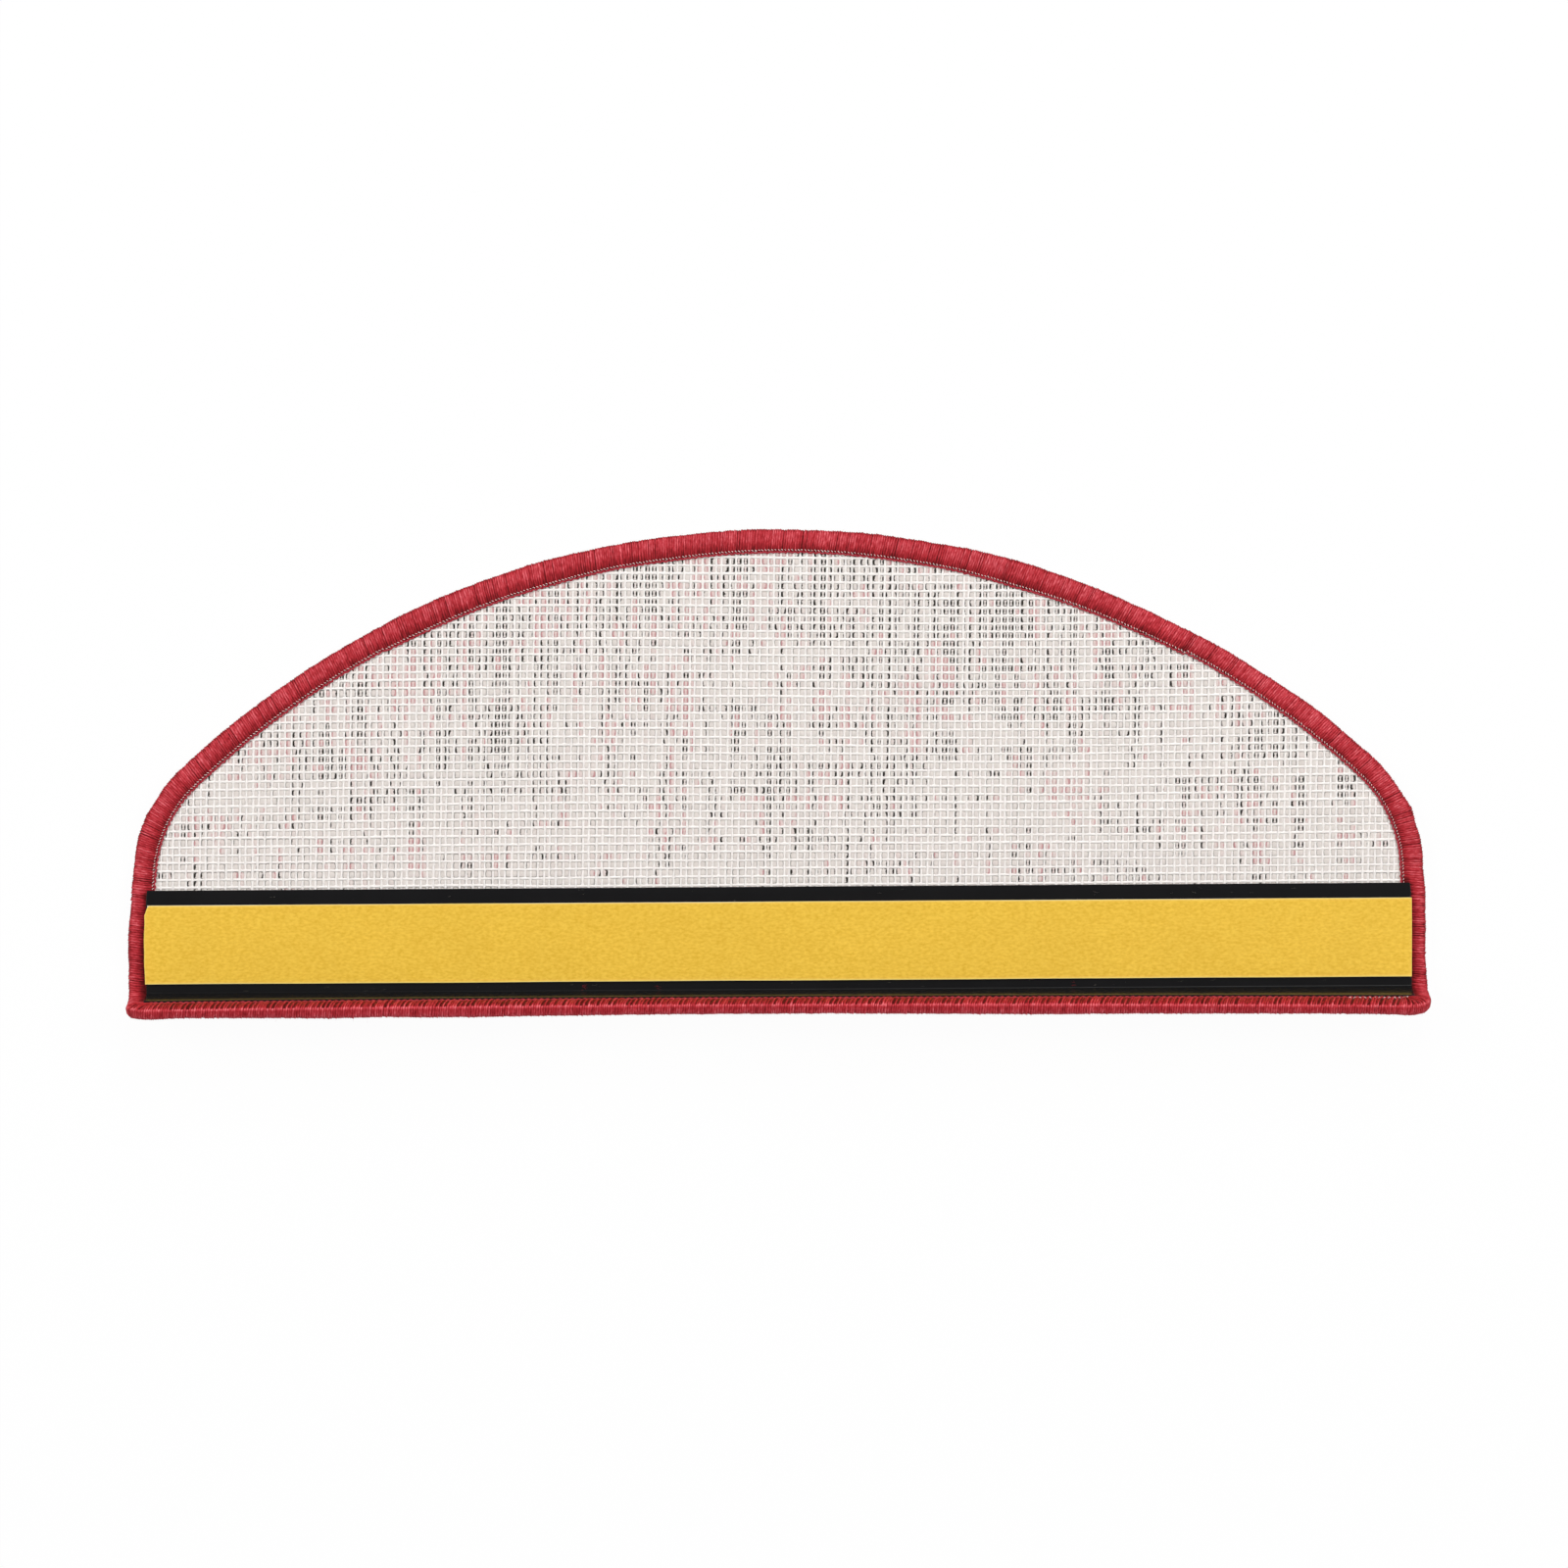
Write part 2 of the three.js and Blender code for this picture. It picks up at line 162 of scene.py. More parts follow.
# %% The outline by height and by width
def half_width_at(v, inset):
    """Half the mat's width at each v, on the outline moved in by inset."""

    def on_circle(centre, radius):
        return centre[0] + np.sqrt(np.maximum((radius - inset) ** 2 - (v - centre[1]) ** 2, 0))

    side = HALF_WIDTH - inset / np.cos(SIDE_TAPER) - v * np.tan(SIDE_TAPER)
    shoulder_start = SHOULDER_HEIGHT + (SHOULDER_RADIUS - inset) * np.cos(SIDE_ANGLE)
    arch_start = ARCH_V + (ARCH_RADIUS - inset) * np.cos(SHOULDER_ANGLE)
    corner, shoulder = on_circle(CORNER, LIP_CORNER), on_circle(SHOULDER, SHOULDER_RADIUS)
    below = [v < CORNER[1], v < 0, v < shoulder_start, v < arch_start]
    halves = [corner, HALF_WIDTH - inset + 0 * v, side, shoulder]
    return np.select(below, halves, on_circle(ARCH, ARCH_RADIUS))


def inside(u, v, inset):
    """How far a point lies within the outline moved in by inset, in millimetres, negative outside it."""
    u = np.abs(u)
    to_arch = ARCH_RADIUS - inset - np.hypot(u, v - ARCH_V)
    to_shoulder = SHOULDER_RADIUS - inset - np.hypot(u - shoulder_u, v - SHOULDER_HEIGHT)
    to_side = (HALF_WIDTH - u) * np.cos(SIDE_TAPER) - inset - v * np.sin(SIDE_TAPER)
    to_edge = np.where(v > SHOULDER_HEIGHT, to_arch, np.minimum(to_side, v - RIM_V - inset))
    in_fan = (v > SHOULDER_HEIGHT) & (np.arctan2(u, v - ARCH_V) > SHOULDER_ANGLE)
    return np.where(in_fan, to_shoulder, to_edge)


# %% [markdown]
# ## Folding the pattern
#
# Behind the fold nothing moves. Within it the sheet follows an arc round the fold's axis, and past it the lip
# runs straight up, leaning out a little. On the real mat the lip isn't quite straight: it leans most at its
# right end and least just left of the middle, and the cloth was cut slightly askew, so its arch stands a few
# millimetres to the right and its left shoulder a little higher than its right one. All of this is put here,
# once, so that every layer shares it.

# %% The fold
ARCH_SKEW, SHOULDER_SKEW = 0.0186, 1.15


def lean(u):
    """Lean of the lip in radians, a parabola along its length."""
    t = u / HALF_WIDTH
    return np.radians(7.4 + 1.7 * t + 3.4 * t**2)


def fold(u, v, h):
    """Carries (u, v, h) to the folded mat, in metres.

    With r = axis - h and the turn a = -v / R held between 0 and its limit, and b the length left beyond it:
    y = v - r sin a - b cos a, and z = axis - r cos a + b sin a. Past the angle's leg u grows with v, and v
    is raised on the left and lowered on the right by one wave of a sine: the two skews.
    """
    u, v, h = np.broadcast_arrays(u, v, h)
    limit = np.pi / 2 - lean(u)
    radius = FOLD_AXIS - h
    turn = np.clip(-v / FOLD_RADIUS, 0, limit)
    beyond = np.maximum(-v - FOLD_RADIUS * limit, 0)
    past_leg = v - TREAD_LEG
    x = u + ARCH_SKEW * np.maximum(past_leg, 0)
    wave = SHOULDER_SKEW * np.sin(np.pi * u / 290.0) * np.clip(past_leg / 90.0, 0, 1)
    y = np.maximum(v, 0) - wave - radius * np.sin(turn) - beyond * np.cos(turn)
    z = FOLD_AXIS - radius * np.cos(turn) + beyond * np.sin(turn)
    return MM * np.stack([x, FOLD_LINE + y, z], axis=-1)


# %% [markdown]
# ## From arrays to meshes
#
# A surface is a grid of points, rows by columns. Its faces are quads between neighbours, and either direction
# may join up with itself: a ring carried round a closed path joins up both ways. `foreach_set` hands whole
# arrays to Blender, which is hundreds of times quicker than adding vertices one by one. A closed mesh whose
# volume comes out negative is inside out, so its faces are reversed.


# %% Grids of faces
def grid_faces(rows, columns, close_rows=False, close_columns=False):
    """Corner numbers of the quads between neighbouring points of a rows x columns grid."""
    first_rows = np.arange(rows if close_rows else rows - 1)
    first_columns = np.arange(columns if close_columns else columns - 1)
    r, c = np.meshgrid(first_rows, first_columns, indexing="ij")
    r_next, c_next = (r + 1) % rows, (c + 1) % columns
    corners = [r * columns + c, r * columns + c_next, r_next * columns + c_next, r_next * columns + c]
    return np.stack(corners, axis=-1).reshape(-1, 4)


def shell_faces(rings, wide):
    """Faces of rings that run so many points out and as many back: the sides, and quads for the caps."""
    first = np.arange(wide - 1)
    cap = np.stack([first, first + 1, 2 * wide - 2 - first, 2 * wide - 1 - first], axis=-1)
    side = grid_faces(rings, 2 * wide, close_columns=True)
    return np.concatenate([side, cap[:, ::-1], cap + (rings - 1) * 2 * wide])


def volume(points, faces):
    """Enclosed volume: the sum over fan triangles of a . (b x c) / 6."""
    total = 0.0
    for block in faces:
        for k in range(1, block.shape[1] - 1):
            a, b, c = points[block[:, 0]], points[block[:, k]], points[block[:, k + 1]]
            total += np.einsum("ij,ij->", a, np.cross(b, c)) / 6
    return total


def unit(vectors):
    """Vectors divided by their lengths."""
    return vectors / np.linalg.norm(vectors, axis=-1, keepdims=True)


# %% Making a piece
def make_piece(
    name, points, faces, slot, material, replaces=(), closed=True, smooth=True, pattern=None, **attributes
):
    """A mesh object from points in metres and blocks of faces.

    Attributes are one number per point. The pattern is a place in millimetres along and across, for the UVs.
    """
    shape = points.shape[:-1]
    points = points.reshape(-1, 3)
    faces = faces if isinstance(faces, list) else [faces]
    if closed and volume(points, faces) < 0:
        faces = [block[:, ::-1] for block in faces]
    corners = np.concatenate([block.ravel() for block in faces])
    sizes = np.concatenate([np.full(len(block), block.shape[1]) for block in faces])
    mesh = bpy.data.meshes.new(name)
    mesh.vertices.add(len(points))
    mesh.vertices.foreach_set("co", points.astype(np.float32).ravel())
    mesh.loops.add(len(corners))
    mesh.loops.foreach_set("vertex_index", corners.astype(np.int32))
    mesh.polygons.add(len(sizes))
    mesh.polygons.foreach_set("loop_start", (np.cumsum(sizes) - sizes).astype(np.int32))
    mesh.polygons.foreach_set("use_smooth", np.full(len(sizes), smooth))
    mesh.update(calc_edges=True)
    if pattern is not None:
        places = np.stack([np.broadcast_to(part, shape) for part in pattern], axis=-1).reshape(-1, 2)
        layer = mesh.uv_layers.new(name="pattern")
        layer.data.foreach_set("uv", (MM * places).astype(np.float32)[corners].ravel())
    for key, values in attributes.items():
        layer = mesh.attributes.new(key, "FLOAT", "POINT")
        layer.data.foreach_set("value", np.broadcast_to(values, shape).astype(np.float32).ravel())
    mesh.materials.append(material)
    piece = bpy.data.objects.new(name, mesh)
    bpy.context.scene.collection.objects.link(piece)
    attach(piece, "root")
    if replaces:
        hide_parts(*replaces)
    print(f"{name}: {int(np.sum(sizes - 2))} triangles")
    return piece


# %% [markdown]
# ## Threads
#
# Every thread here is a tube: a ring of points carried along a path, flattened to the width and the height
# that the thread has there. Many threads are made in one go. The array has a row for each thread, and since
# threads end where the outline cuts them, a mask says which of their points are kept. Faces are made only
# between kept rings, and a thread's first and last rings are closed with a cap.


# %% Tubes
def tubes(name, centre, across, over, half_across, half_over, keep=None, sides=6, loop=False, **rest):
    """Tubes through centre[thread, step], with elliptical rings: c + across w cos a + over t sin a."""
    threads, steps = centre.shape[:2]
    angle = (np.arange(sides) + 0.5) * 2 * np.pi / sides
    ring_across = (half_across[..., None] * np.cos(angle))[..., None] * across[..., None, :]
    ring_over = (half_over[..., None] * np.sin(angle))[..., None] * over[..., None, :]
    points = centre[..., None, :] + ring_across + ring_over
    keep = np.ones((threads, steps), bool) if keep is None else keep
    number = np.arange(threads * steps * sides).reshape(threads, steps, sides)
    after = np.roll(number, -1, axis=1)
    joined = keep & np.roll(keep, -1, axis=1)
    if not loop:
        joined[:, -1] = False
    side = np.roll(np.arange(sides), -1)
    blocks = [np.stack([number, number[..., side], after[..., side], after], axis=-1)[joined].reshape(-1, 4)]
    if not loop:
        starts = keep & ~np.roll(joined, 1, axis=1)
        blocks.append(np.concatenate([number[starts][:, ::-1], number[keep & ~joined]]))
    used, renumbered = np.unique(np.concatenate([block.ravel() for block in blocks]), return_inverse=True)
    splits = np.cumsum([block.size for block in blocks])[:-1]
    blocks = [part.reshape(block.shape) for part, block in zip(np.split(renumbered, splits), blocks)]
    return make_piece(name, points.reshape(-1, 3)[used], blocks, **rest)


# %% [markdown]
# ## Materials
#
# `Nodes` gives a node tree short words for the steps that every finish repeats. Each word adds a node, sets
# its properties, links or fills its sockets, and hands back what comes out of it.


# %% Words for nodes
class Nodes:
    """A node tree that is being filled."""

    def __init__(self, tree):
        self.tree = tree

    def fill(self, node, inputs):
        """Links each input that is given as a socket, and sets each one that is a number or a colour."""
        for key, value in inputs.items():
            if isinstance(value, bpy.types.NodeSocket):
                self.tree.links.new(value, node.inputs[key])
            else:
                node.inputs[key].default_value = value
        return node

    def add(self, kind, inputs=None, **settings):
        """A new node with its properties set and its inputs filled."""
        node = self.tree.nodes.new(kind)
        for key, value in settings.items():
            setattr(node, key, value)
        return self.fill(node, inputs or {})

    def math(self, operation, a, b, clamp=False):
        return self.add("ShaderNodeMath", {0: a, 1: b}, operation=operation, use_clamp=clamp).outputs[0]

    times = partialmethod(math, "MULTIPLY")
    plus = partialmethod(math, "ADD")
    minus = partialmethod(math, "SUBTRACT")

    def mix(self, factor, a, b, blend="MIX"):
        """Colour between a and b."""
        inputs = {0: factor, 6: a, 7: b}
        return self.add("ShaderNodeMix", inputs, data_type="RGBA", blend_type=blend).outputs[2]

    def place(self):
        """The place on the object, in metres."""
        return self.add("ShaderNodeTexCoord").outputs["Object"]

    def noise(self, place, scale, detail, roughness):
        inputs = {"Vector": place, "Scale": scale, "Detail": detail, "Roughness": roughness}
        return self.add("ShaderNodeTexNoise", inputs).outputs["Fac"]


def colour(red, green, blue):
    """Linear colour of an sRGB one given as 0 to 255: ((c + 0.055) / 1.055) ** 2.4 above the toe."""
    c = np.array([red, green, blue]) / 255
    linear = np.where(c <= 0.04045, c / 12.92, ((c + 0.055) / 1.055) ** 2.4)
    return (*linear.tolist(), 1.0)


# %% [markdown]
# Two effects are used by nearly every finish here, so each is a node group: `fibres` makes fine streaks that
# run along a yarn or an extrusion, and `mottle` varies a colour over the surface as dye lots, handling and
# light dust do.


# %% The two shared effects
def new_group(name, inputs, outputs):
    """A shader node group with these sockets, its input sockets and its output node."""
    tree = bpy.data.node_groups.new(name, "ShaderNodeTree")
    for label, kind in inputs.items():
        tree.interface.new_socket(label, in_out="INPUT", socket_type="NodeSocket" + kind)
    for label, kind in outputs.items():
        tree.interface.new_socket(label, in_out="OUTPUT", socket_type="NodeSocket" + kind)
    return Nodes(tree), tree.nodes.new("NodeGroupInput").outputs, tree.nodes.new("NodeGroupOutput")


fibres, given, result = new_group(
    "fibres", {"Vector": "Vector", "Along": "Float", "Across": "Float"}, {"Streaks": "Float"}
)
stretch = fibres.add("ShaderNodeCombineXYZ", {0: given["Across"], 1: given["Along"], 2: given["Along"]})
scaled = fibres.add("ShaderNodeVectorMath", {0: given["Vector"], 1: stretch.outputs[0]}, operation="MULTIPLY")
fibres.fill(result, {"Streaks": fibres.noise(scaled.outputs[0], 1.0, 3.0, 0.6)})

mottle, given, result = new_group(
    "mottle", {"Color": "Color", "Amount": "Float", "Scale": "Float"}, {"Color": "Color", "Value": "Float"}
)
blotch = mottle.noise(mottle.place(), given["Scale"], 5.0, 0.65)
factor = mottle.plus(mottle.times(mottle.minus(blotch, 0.5), given["Amount"]), 1.0)
tinted = mottle.add("ShaderNodeHueSaturation", {"Color": given["Color"], "Value": factor}).outputs[0]
mottle.fill(result, {"Color": tinted, "Value": blotch})


# %% A finish
class Finish(Nodes):
    """A material with its Principled shader, and the effects that finishes share."""

    def __init__(self, name):
        self.material = bpy.data.materials.new(name)
        self.material.use_nodes = True
        super().__init__(self.material.node_tree)

    def streaks(self, along, across, place=None):
        """Fine streaks, by the place on the object where no other place is given."""
        inputs = {"Vector": self.place() if place is None else place, "Along": along, "Across": across}
        return self.add("ShaderNodeGroup", inputs, node_tree=fibres.tree).outputs[0]

    def mottled(self, tint, amount, scale):
        """The tint varied over the surface, and the variation itself."""
        inputs = {"Color": tint, "Amount": amount, "Scale": scale}
        return self.add("ShaderNodeGroup", inputs, node_tree=mottle.tree).outputs.values()

    def stored(self, name):
        """A number stored on the mesh."""
        return self.add("ShaderNodeAttribute", attribute_name=name, attribute_type="GEOMETRY").outputs["Fac"]

    def pattern_place(self):
        """The piece's own UV map, in metres along and across."""
        return self.add("ShaderNodeUVMap", uv_map="pattern").outputs[0]

    def done(self, base, rough, height, millimetres, **more):
        """The finished material. The height, 0 to 1, stands for so many millimetres and roughens the normal.
        Further inputs of the shader are given by name, with underscores for spaces."""
        inputs = {"Height": height, "Distance": millimetres * MM, "Strength": 1.0}
        shader = self.tree.nodes["Principled BSDF"]
        normal = self.add("ShaderNodeBump", inputs).outputs[0]
        self.fill(shader, {"Base Color": base, "Roughness": rough, "Normal": normal})
        self.fill(shader, {key.replace("_", " "): value for key, value in more.items()})
        return self.material


# %% [markdown]
# ## The overlocked edge
#
# An overlock machine wraps yarn after yarn round the raw edge until no carpet shows. Seen close, the edge is
# a row of round strands, a little over a millimetre apart, that slant slightly and bunch where the feed
# slipped. A bumpy tube would look like piping, so each strand is real geometry: four samples across it, with
# the outline's distance running faster on one side so that the strands slant. The section is made of two
# quarter ovals, because the wrap bulges most near the backing.


# %% Section of the wrap
def oval(degrees, deep, high, power=2.3):
    """Inset and height on a squared oval that touches the edge's outermost line."""
    cosine, sine = np.cos(np.radians(degrees)), np.sin(np.radians(degrees))
    rise = high * np.sign(sine) * np.abs(sine) ** (2 / power)
    return np.stack([deep * (1 - np.abs(cosine) ** (2 / power)), OUTERMOST_HIGH + rise], axis=-1)


OUTERMOST_HIGH = 3.8
section = np.concatenate(
    [
        [[10.95, 5.35], [10.5, 5.78], [8.2, 6.05]],
        oval([90, 68, 45, 22, 0], deep=5.5, high=2.3),
        oval([-30, -60, -90], deep=3.2, high=3.6),
        [[7.0, 0.12], [10.3, 0.25], [10.4, 1.0], [2.4, 1.0], [2.4, 5.35]],
    ]
)
OUTERMOST, HIDDEN_ROWS, MIDDLE = 7, 3, (6.0, 3.2)
deep, high = section.T
row = np.arange(len(section))
outside = row < len(section) - HIDDEN_ROWS
section_run = np.concatenate([[0], np.cumsum(np.linalg.norm(np.diff(section, axis=0), axis=1))])
tangent = np.roll(section, -1, axis=0) - np.roll(section, 1, axis=0)
section_out = unit(np.stack([tangent[:, 1], -tangent[:, 0]], axis=-1))
section_out *= np.sign(np.sum(section_out * (section - MIDDLE), axis=1, keepdims=True)) * outside[:, None]


# %% Where along the edge
def logistic(x):
    """The smooth step 1 / (1 + exp(-x))."""
    return 1 / (1 + np.exp(-x))


def lip_share(distance):
    """1 along the rim of the lip, falling to 0 within some millimetres past its corners."""
    from_middle = np.minimum(distance, 2 * HALF_LENGTH - distance)
    return logistic((ends[1] - from_middle) / 3.0)


def inner_drift(u, v):
    """How much further in the wrap's inner edge lies than on the drawing, read along the photo's arch."""
    along = np.linspace(-203, 208, 15)
    drift = [0.9, 1.2, 0.9, 1.2, 0.8, 1.1, 0.5, 0.1, -0.1, 0.1, 0.0, 0.9, 0.7, 0.9, 0.6]
    return np.interp(u, along, drift, left=0.2, right=-0.5) * (v > TREAD_LEG)


STRAND_PITCH, SAMPLES = 1.2, 4
rng = np.random.default_rng(11)
strands = int(round(2 * HALF_LENGTH / STRAND_PITCH))
steps = np.arange(strands * SAMPLES)
strand, phase = steps // SAMPLES, steps % SAMPLES / SAMPLES
distance = steps / SAMPLES * 2 * HALF_LENGTH / strands
edge_u, edge_v = around(distance)[0].T
on_lip = lip_share(distance)
lip = on_lip[:, None]


def slow_noise(spread, knots):
    """Random values at so many places along the edge, joined by straight lines."""
    return np.interp(steps, np.linspace(0, len(steps), knots), rng.normal(0, spread, knots))


# %% [markdown]
# Each strand bulges like a half circle, |sin|, and some stand prouder, because bunches share one feed.
# Between two bunches the yarns part, which leaves a slit. On the lip, a millimetre in from the outermost
# line, both loopers' yarns lock and stand up as a low ridge: exp(-(x / w)^2). The same number paints the
# ridge lighter in the colour, a painted highlight.

# %% Strands
crest = np.abs(np.sin(np.pi * phase))
parting = (1 - crest)[:, None]
slit = (rng.uniform(size=strands) < 0.14) * rng.uniform(0.5, 1.0, strands)
proud = rng.normal(0, 0.07, strands)
bunch = np.sin(2 * np.pi * (np.arange(strands) / 2.35 + np.cumsum(rng.normal(0, 0.05, strands))))
ragged = (rng.normal(0, 0.16, strands) + 0.22 * bunch)[strand]
slit = slit[strand] * (1 - on_lip)
height = 0.30 * crest - 0.14 + (proud + 0.07 * bunch)[strand] - 0.26 * (1 - crest) * slit

from_ridge = section_run - section_run[OUTERMOST] + 1.45
ridge = np.exp(-((from_ridge / 0.48) ** 2))
# The ridge is real geometry, and the same number also lightens its colour: a painted highlight.
lock = (0.05 + 0.95 * lip) * ridge * (0.8 + 0.2 * rng.uniform(size=strands))[strand, None]
slant = 0.10 * from_ridge + 0.12 * lip * np.minimum(from_ridge, 0)
at, outward = around((distance + slow_noise(0.25, 500))[:, None] - slant)

# %% [markdown]
# The wrap also stands out of the pattern's line by up to 1.3 millimetres. These offsets were read along the
# photo's outline: up each side by v, and along the rim's front and the arch by u.

# %% Bulges
up_side = [-20, 0, 7, 14, 21, 29, 36, 44, 51, 58, 66, 73, 81, 88, 95, 103, 110, 125, 137, 150]
RIGHT = [0.8, 0.2, 0.2, -0.2, 0.1, 0.8, 0.8, 1.2, 1.1, 0.4, 0.6, 0.8, 0.3, 1.3, 0.3, 0.1, 0.6, 0.4, 0.9, 0.0]
LEFT = [-0.3, 0.0, 0.3, 0.6, 1.1, 1.2, 0.9, 0.3, 0.3, -0.1, -0.4, 0.4, 0.5, 0.8, 0.2, 0.5, 0.5, 0.4, 0.4, 0.2]
RIM = [0.8, 0.1, 0.3, 0.7, 1.1, 0.6, 1.2, 1.1, 0.8, 0.8, 0.4, 0.4, 0.4, 0.3]
RIM += [0.3, 0.5, 0.5, 0.7, 0.9, 0.8, 0.6, 0.6, 0.5, 0.3, 0.3, 0.4, 0.9]
TOP = [0.1, -0.1, 0.2, 0.3, 0.0, 0.2, -0.2, -0.3, -0.6, -0.2, -0.1]
TOP += [0.1, 0.4, 0.2, 0.8, 0.8, 0.3, -0.1, -0.6, 0.1, -0.3]
sides = np.where(edge_u > 0, np.interp(edge_v, up_side, RIGHT), np.interp(edge_v, up_side, LEFT))
arch = np.interp(edge_u, np.linspace(-245, 245, len(TOP)), TOP, left=0.0, right=0.0) * (edge_v > 120)
front = np.interp(edge_u, np.linspace(-319, 319, len(RIM)), RIM)[:, None]
slow = (sides * (1 - on_lip) + arch + slow_noise(0.08, 420))[:, None]
groove = (np.clip(-1.8 * bunch - 0.45, 0, 1) * rng.uniform(0.35, 1.0, strands))[strand, None]

# %% The wrap's points
above_ridge = np.clip((high - 4.9) / 0.4, 0, 1)
near_rim = np.clip(1.1 - deep / 7.0, 0, 1)
height = height[:, None] + 0.22 * lock + slow * near_rim
inset = deep + 0.2 + section_out[:, 0] * height
inset = inset + (row < 2) * (ragged + inner_drift(edge_u, edge_v))[:, None]
lift = high + section_out[:, 1] * height + lip * np.interp(row, [0, 2, 4, 5], [0.75, 0.65, 0.2, 0.0])
lift = lift + lip * above_ridge * (0.65 * ragged[:, None] - 0.27 * groove)
lift = lift - lip * front * outside * np.clip(1 - high / 5.0, 0, 1)
flat = at - outward * np.maximum(inset, -1.7)[..., None]
yarn_points = fold(flat[..., 0], flat[..., 1], np.maximum(lift, 0.02 - 1.3 * lip))

# %% [markdown]
# Across the wrap the colour gets painted shade: darker at the outermost line and towards the net, so that the
# shoulder stands lightest, with a painted shadow where the wrap dives under the angle. The lip gets painted
# shade all over, less of it towards its front edge.

# %% Painted shade of the wrap
squeezed = logistic((TREAD_LEG + 1.0 - edge_v) / 0.7)[:, None]
on_left = squeezed * (edge_u < 0)[:, None]
shade_start = 5.2 - 2.7 * squeezed - 0.3 * on_left
shade_end = 9.4 - 3.0 * squeezed - 0.1 * on_left
inward = np.clip((deep - shade_start) / (shade_end - shade_start), 0, 1.2)
under_angle = squeezed * np.clip((deep - 6.1) / 0.7, 0, 1)
shade = 0.5 * (inward + under_angle) * (high > 3.9) + 0.5 * np.clip(1 - deep / 1.3, 0, 1)
lip_shade = 0.27 - 0.5 * np.clip(1 - high / 3.4, 0, 1) + above_ridge * (groove + 0.25 * parting - 0.1)
# Painted shade: the grooves and slits between strands and the shading across the wrap darken the colour.
yarn_hollow = parting * (0.5 + 0.8 * slit[:, None]) + np.where(lip > 0.5, lip_shade, shade)

# %% [markdown]
# ### Its finish
#
# Dyed polypropylene yarn, a deep red. Painted shade in its colour leaves the strands' crests lighter, makes
# the grooves and slits between them nearly brown-red, and shades the wrap across its width. The lip's ridge
# gets a painted highlight, and its inner face a deeper red as painted bounce light. These numbers and each
# strand's own tone are stored on the mesh. The streaks run along the strands by the UV map.

# %% Red yarn
REDS = {0.0: (94, 4, 10), 0.3: (150, 21, 31), 0.55: (182, 41, 51), 0.8: (205, 73, 83), 1.0: (230, 114, 122)}
m = Finish("red_yarn")
place = m.pattern_place()
fine = m.streaks(420.0, 7000.0, place)
coarse = m.streaks(330.0, 1500.0, place)
lightness = -0.48
# The shade number darkens the red as painted shade; the ridge number lightens it as a painted highlight.
numbers = {"tone": 0.25, "hollow": -0.75, "lock": 0.85}
for part, weight in [(fine, 0.85), (coarse, 1.4)] + [(m.stored(key), numbers[key]) for key in numbers]:
    terms = {0: part, 1: weight, 2: lightness}
    lightness = m.add("ShaderNodeMath", terms, operation="MULTIPLY_ADD").outputs[0]
picked = m.add("ShaderNodeValToRGB", {"Fac": lightness})
stages = picked.color_ramp.elements
stages.remove(stages[-1])
stages[0].color = colour(*REDS.pop(0.0))
for position, red in REDS.items():
    stages.new(position).color = colour(*red)
# Painted bounce light: the lip's inner face, beside the angle, is tinted a deeper, more saturated red.
WHITE, PAINTED_BOUNCE_TINT = (1.0, 1.0, 1.0, 1.0), (1.0, 0.70, 0.66, 1.0)
painted_bounce = m.mix(m.times(m.stored("warm"), 0.8), WHITE, PAINTED_BOUNCE_TINT)
toned = m.mottled(m.mix(1.0, picked.outputs["Color"], painted_bounce, "MULTIPLY"), 0.30, 45.0)[0]
yarn = m.done(toned, 0.72, fine, 0.12, Specular_IOR_Level=0.25)

edge_yarn = make_piece(
    "edge_strands",
    yarn_points,
    grid_faces(len(steps), len(section), close_rows=True, close_columns=True),
    slot="edge_yarn",
    material=yarn,
    replaces=["edge_yarn"],
    pattern=(distance[:, None], section_run),
    # Stored numbers: the shade is painted shade, the ridge a painted highlight, the last one painted bounce
    # light.
    tone=rng.uniform(0, 1, strands)[strand, None],
    hollow=yarn_hollow,
    lock=lock,
    warm=lip * np.clip((high - 4.6) / 1.2, 0, 1),
)

# %% [markdown]
# ## The two seam threads
#
# Along the inner edge of the wrap runs a pale zigzag, the needle thread, which shows as a dotted line because
# it dives under the yarn at each turn. Just inside it lies the looper thread, thin and dark red. Both are
# tubes that follow the outline: the zigzag's inset and height are waves of the distance. On the lip the
# needle thread comes up at the right end only, in longer stitches.


# %% Threads along the edge
def edge_thread(name, period, per_period, inset_of, lift_of, half, jitter, sides, **rest):
    """One closed tube along the outline. Its inset is a function of its wave's turn, its height of that, of u
    and of the lip's share, and its half sizes of the lip's share."""
    count = int(round(2 * HALF_LENGTH / period))
    step = np.arange(count * per_period)
    turn = 2 * np.pi * (step % per_period) / per_period
    distance = step / per_period * 2 * HALF_LENGTH / count
    at, outward = around(distance)
    on_rim = lip_share(distance)
    inset = inset_of(turn) + inner_drift(*at.T) + thread_rng.normal(0, jitter, len(at))
    lift = lift_of(turn, at[:, 0], on_rim)
    flat = at - outward * inset[:, None]
    beside = flat - outward * 0.1
    centre = fold(*flat.T, lift)
    across = unit(fold(*beside.T, lift) - centre)
    over = unit(fold(*flat.T, lift + 0.1) - centre)
    wide, thick = (MM * np.broadcast_to(size, len(at))[None] for size in half(on_rim))
    return tubes(name, centre[None], across[None], over[None], wide, thick, sides=sides, loop=True, **rest)


thread_rng = np.random.default_rng(5)

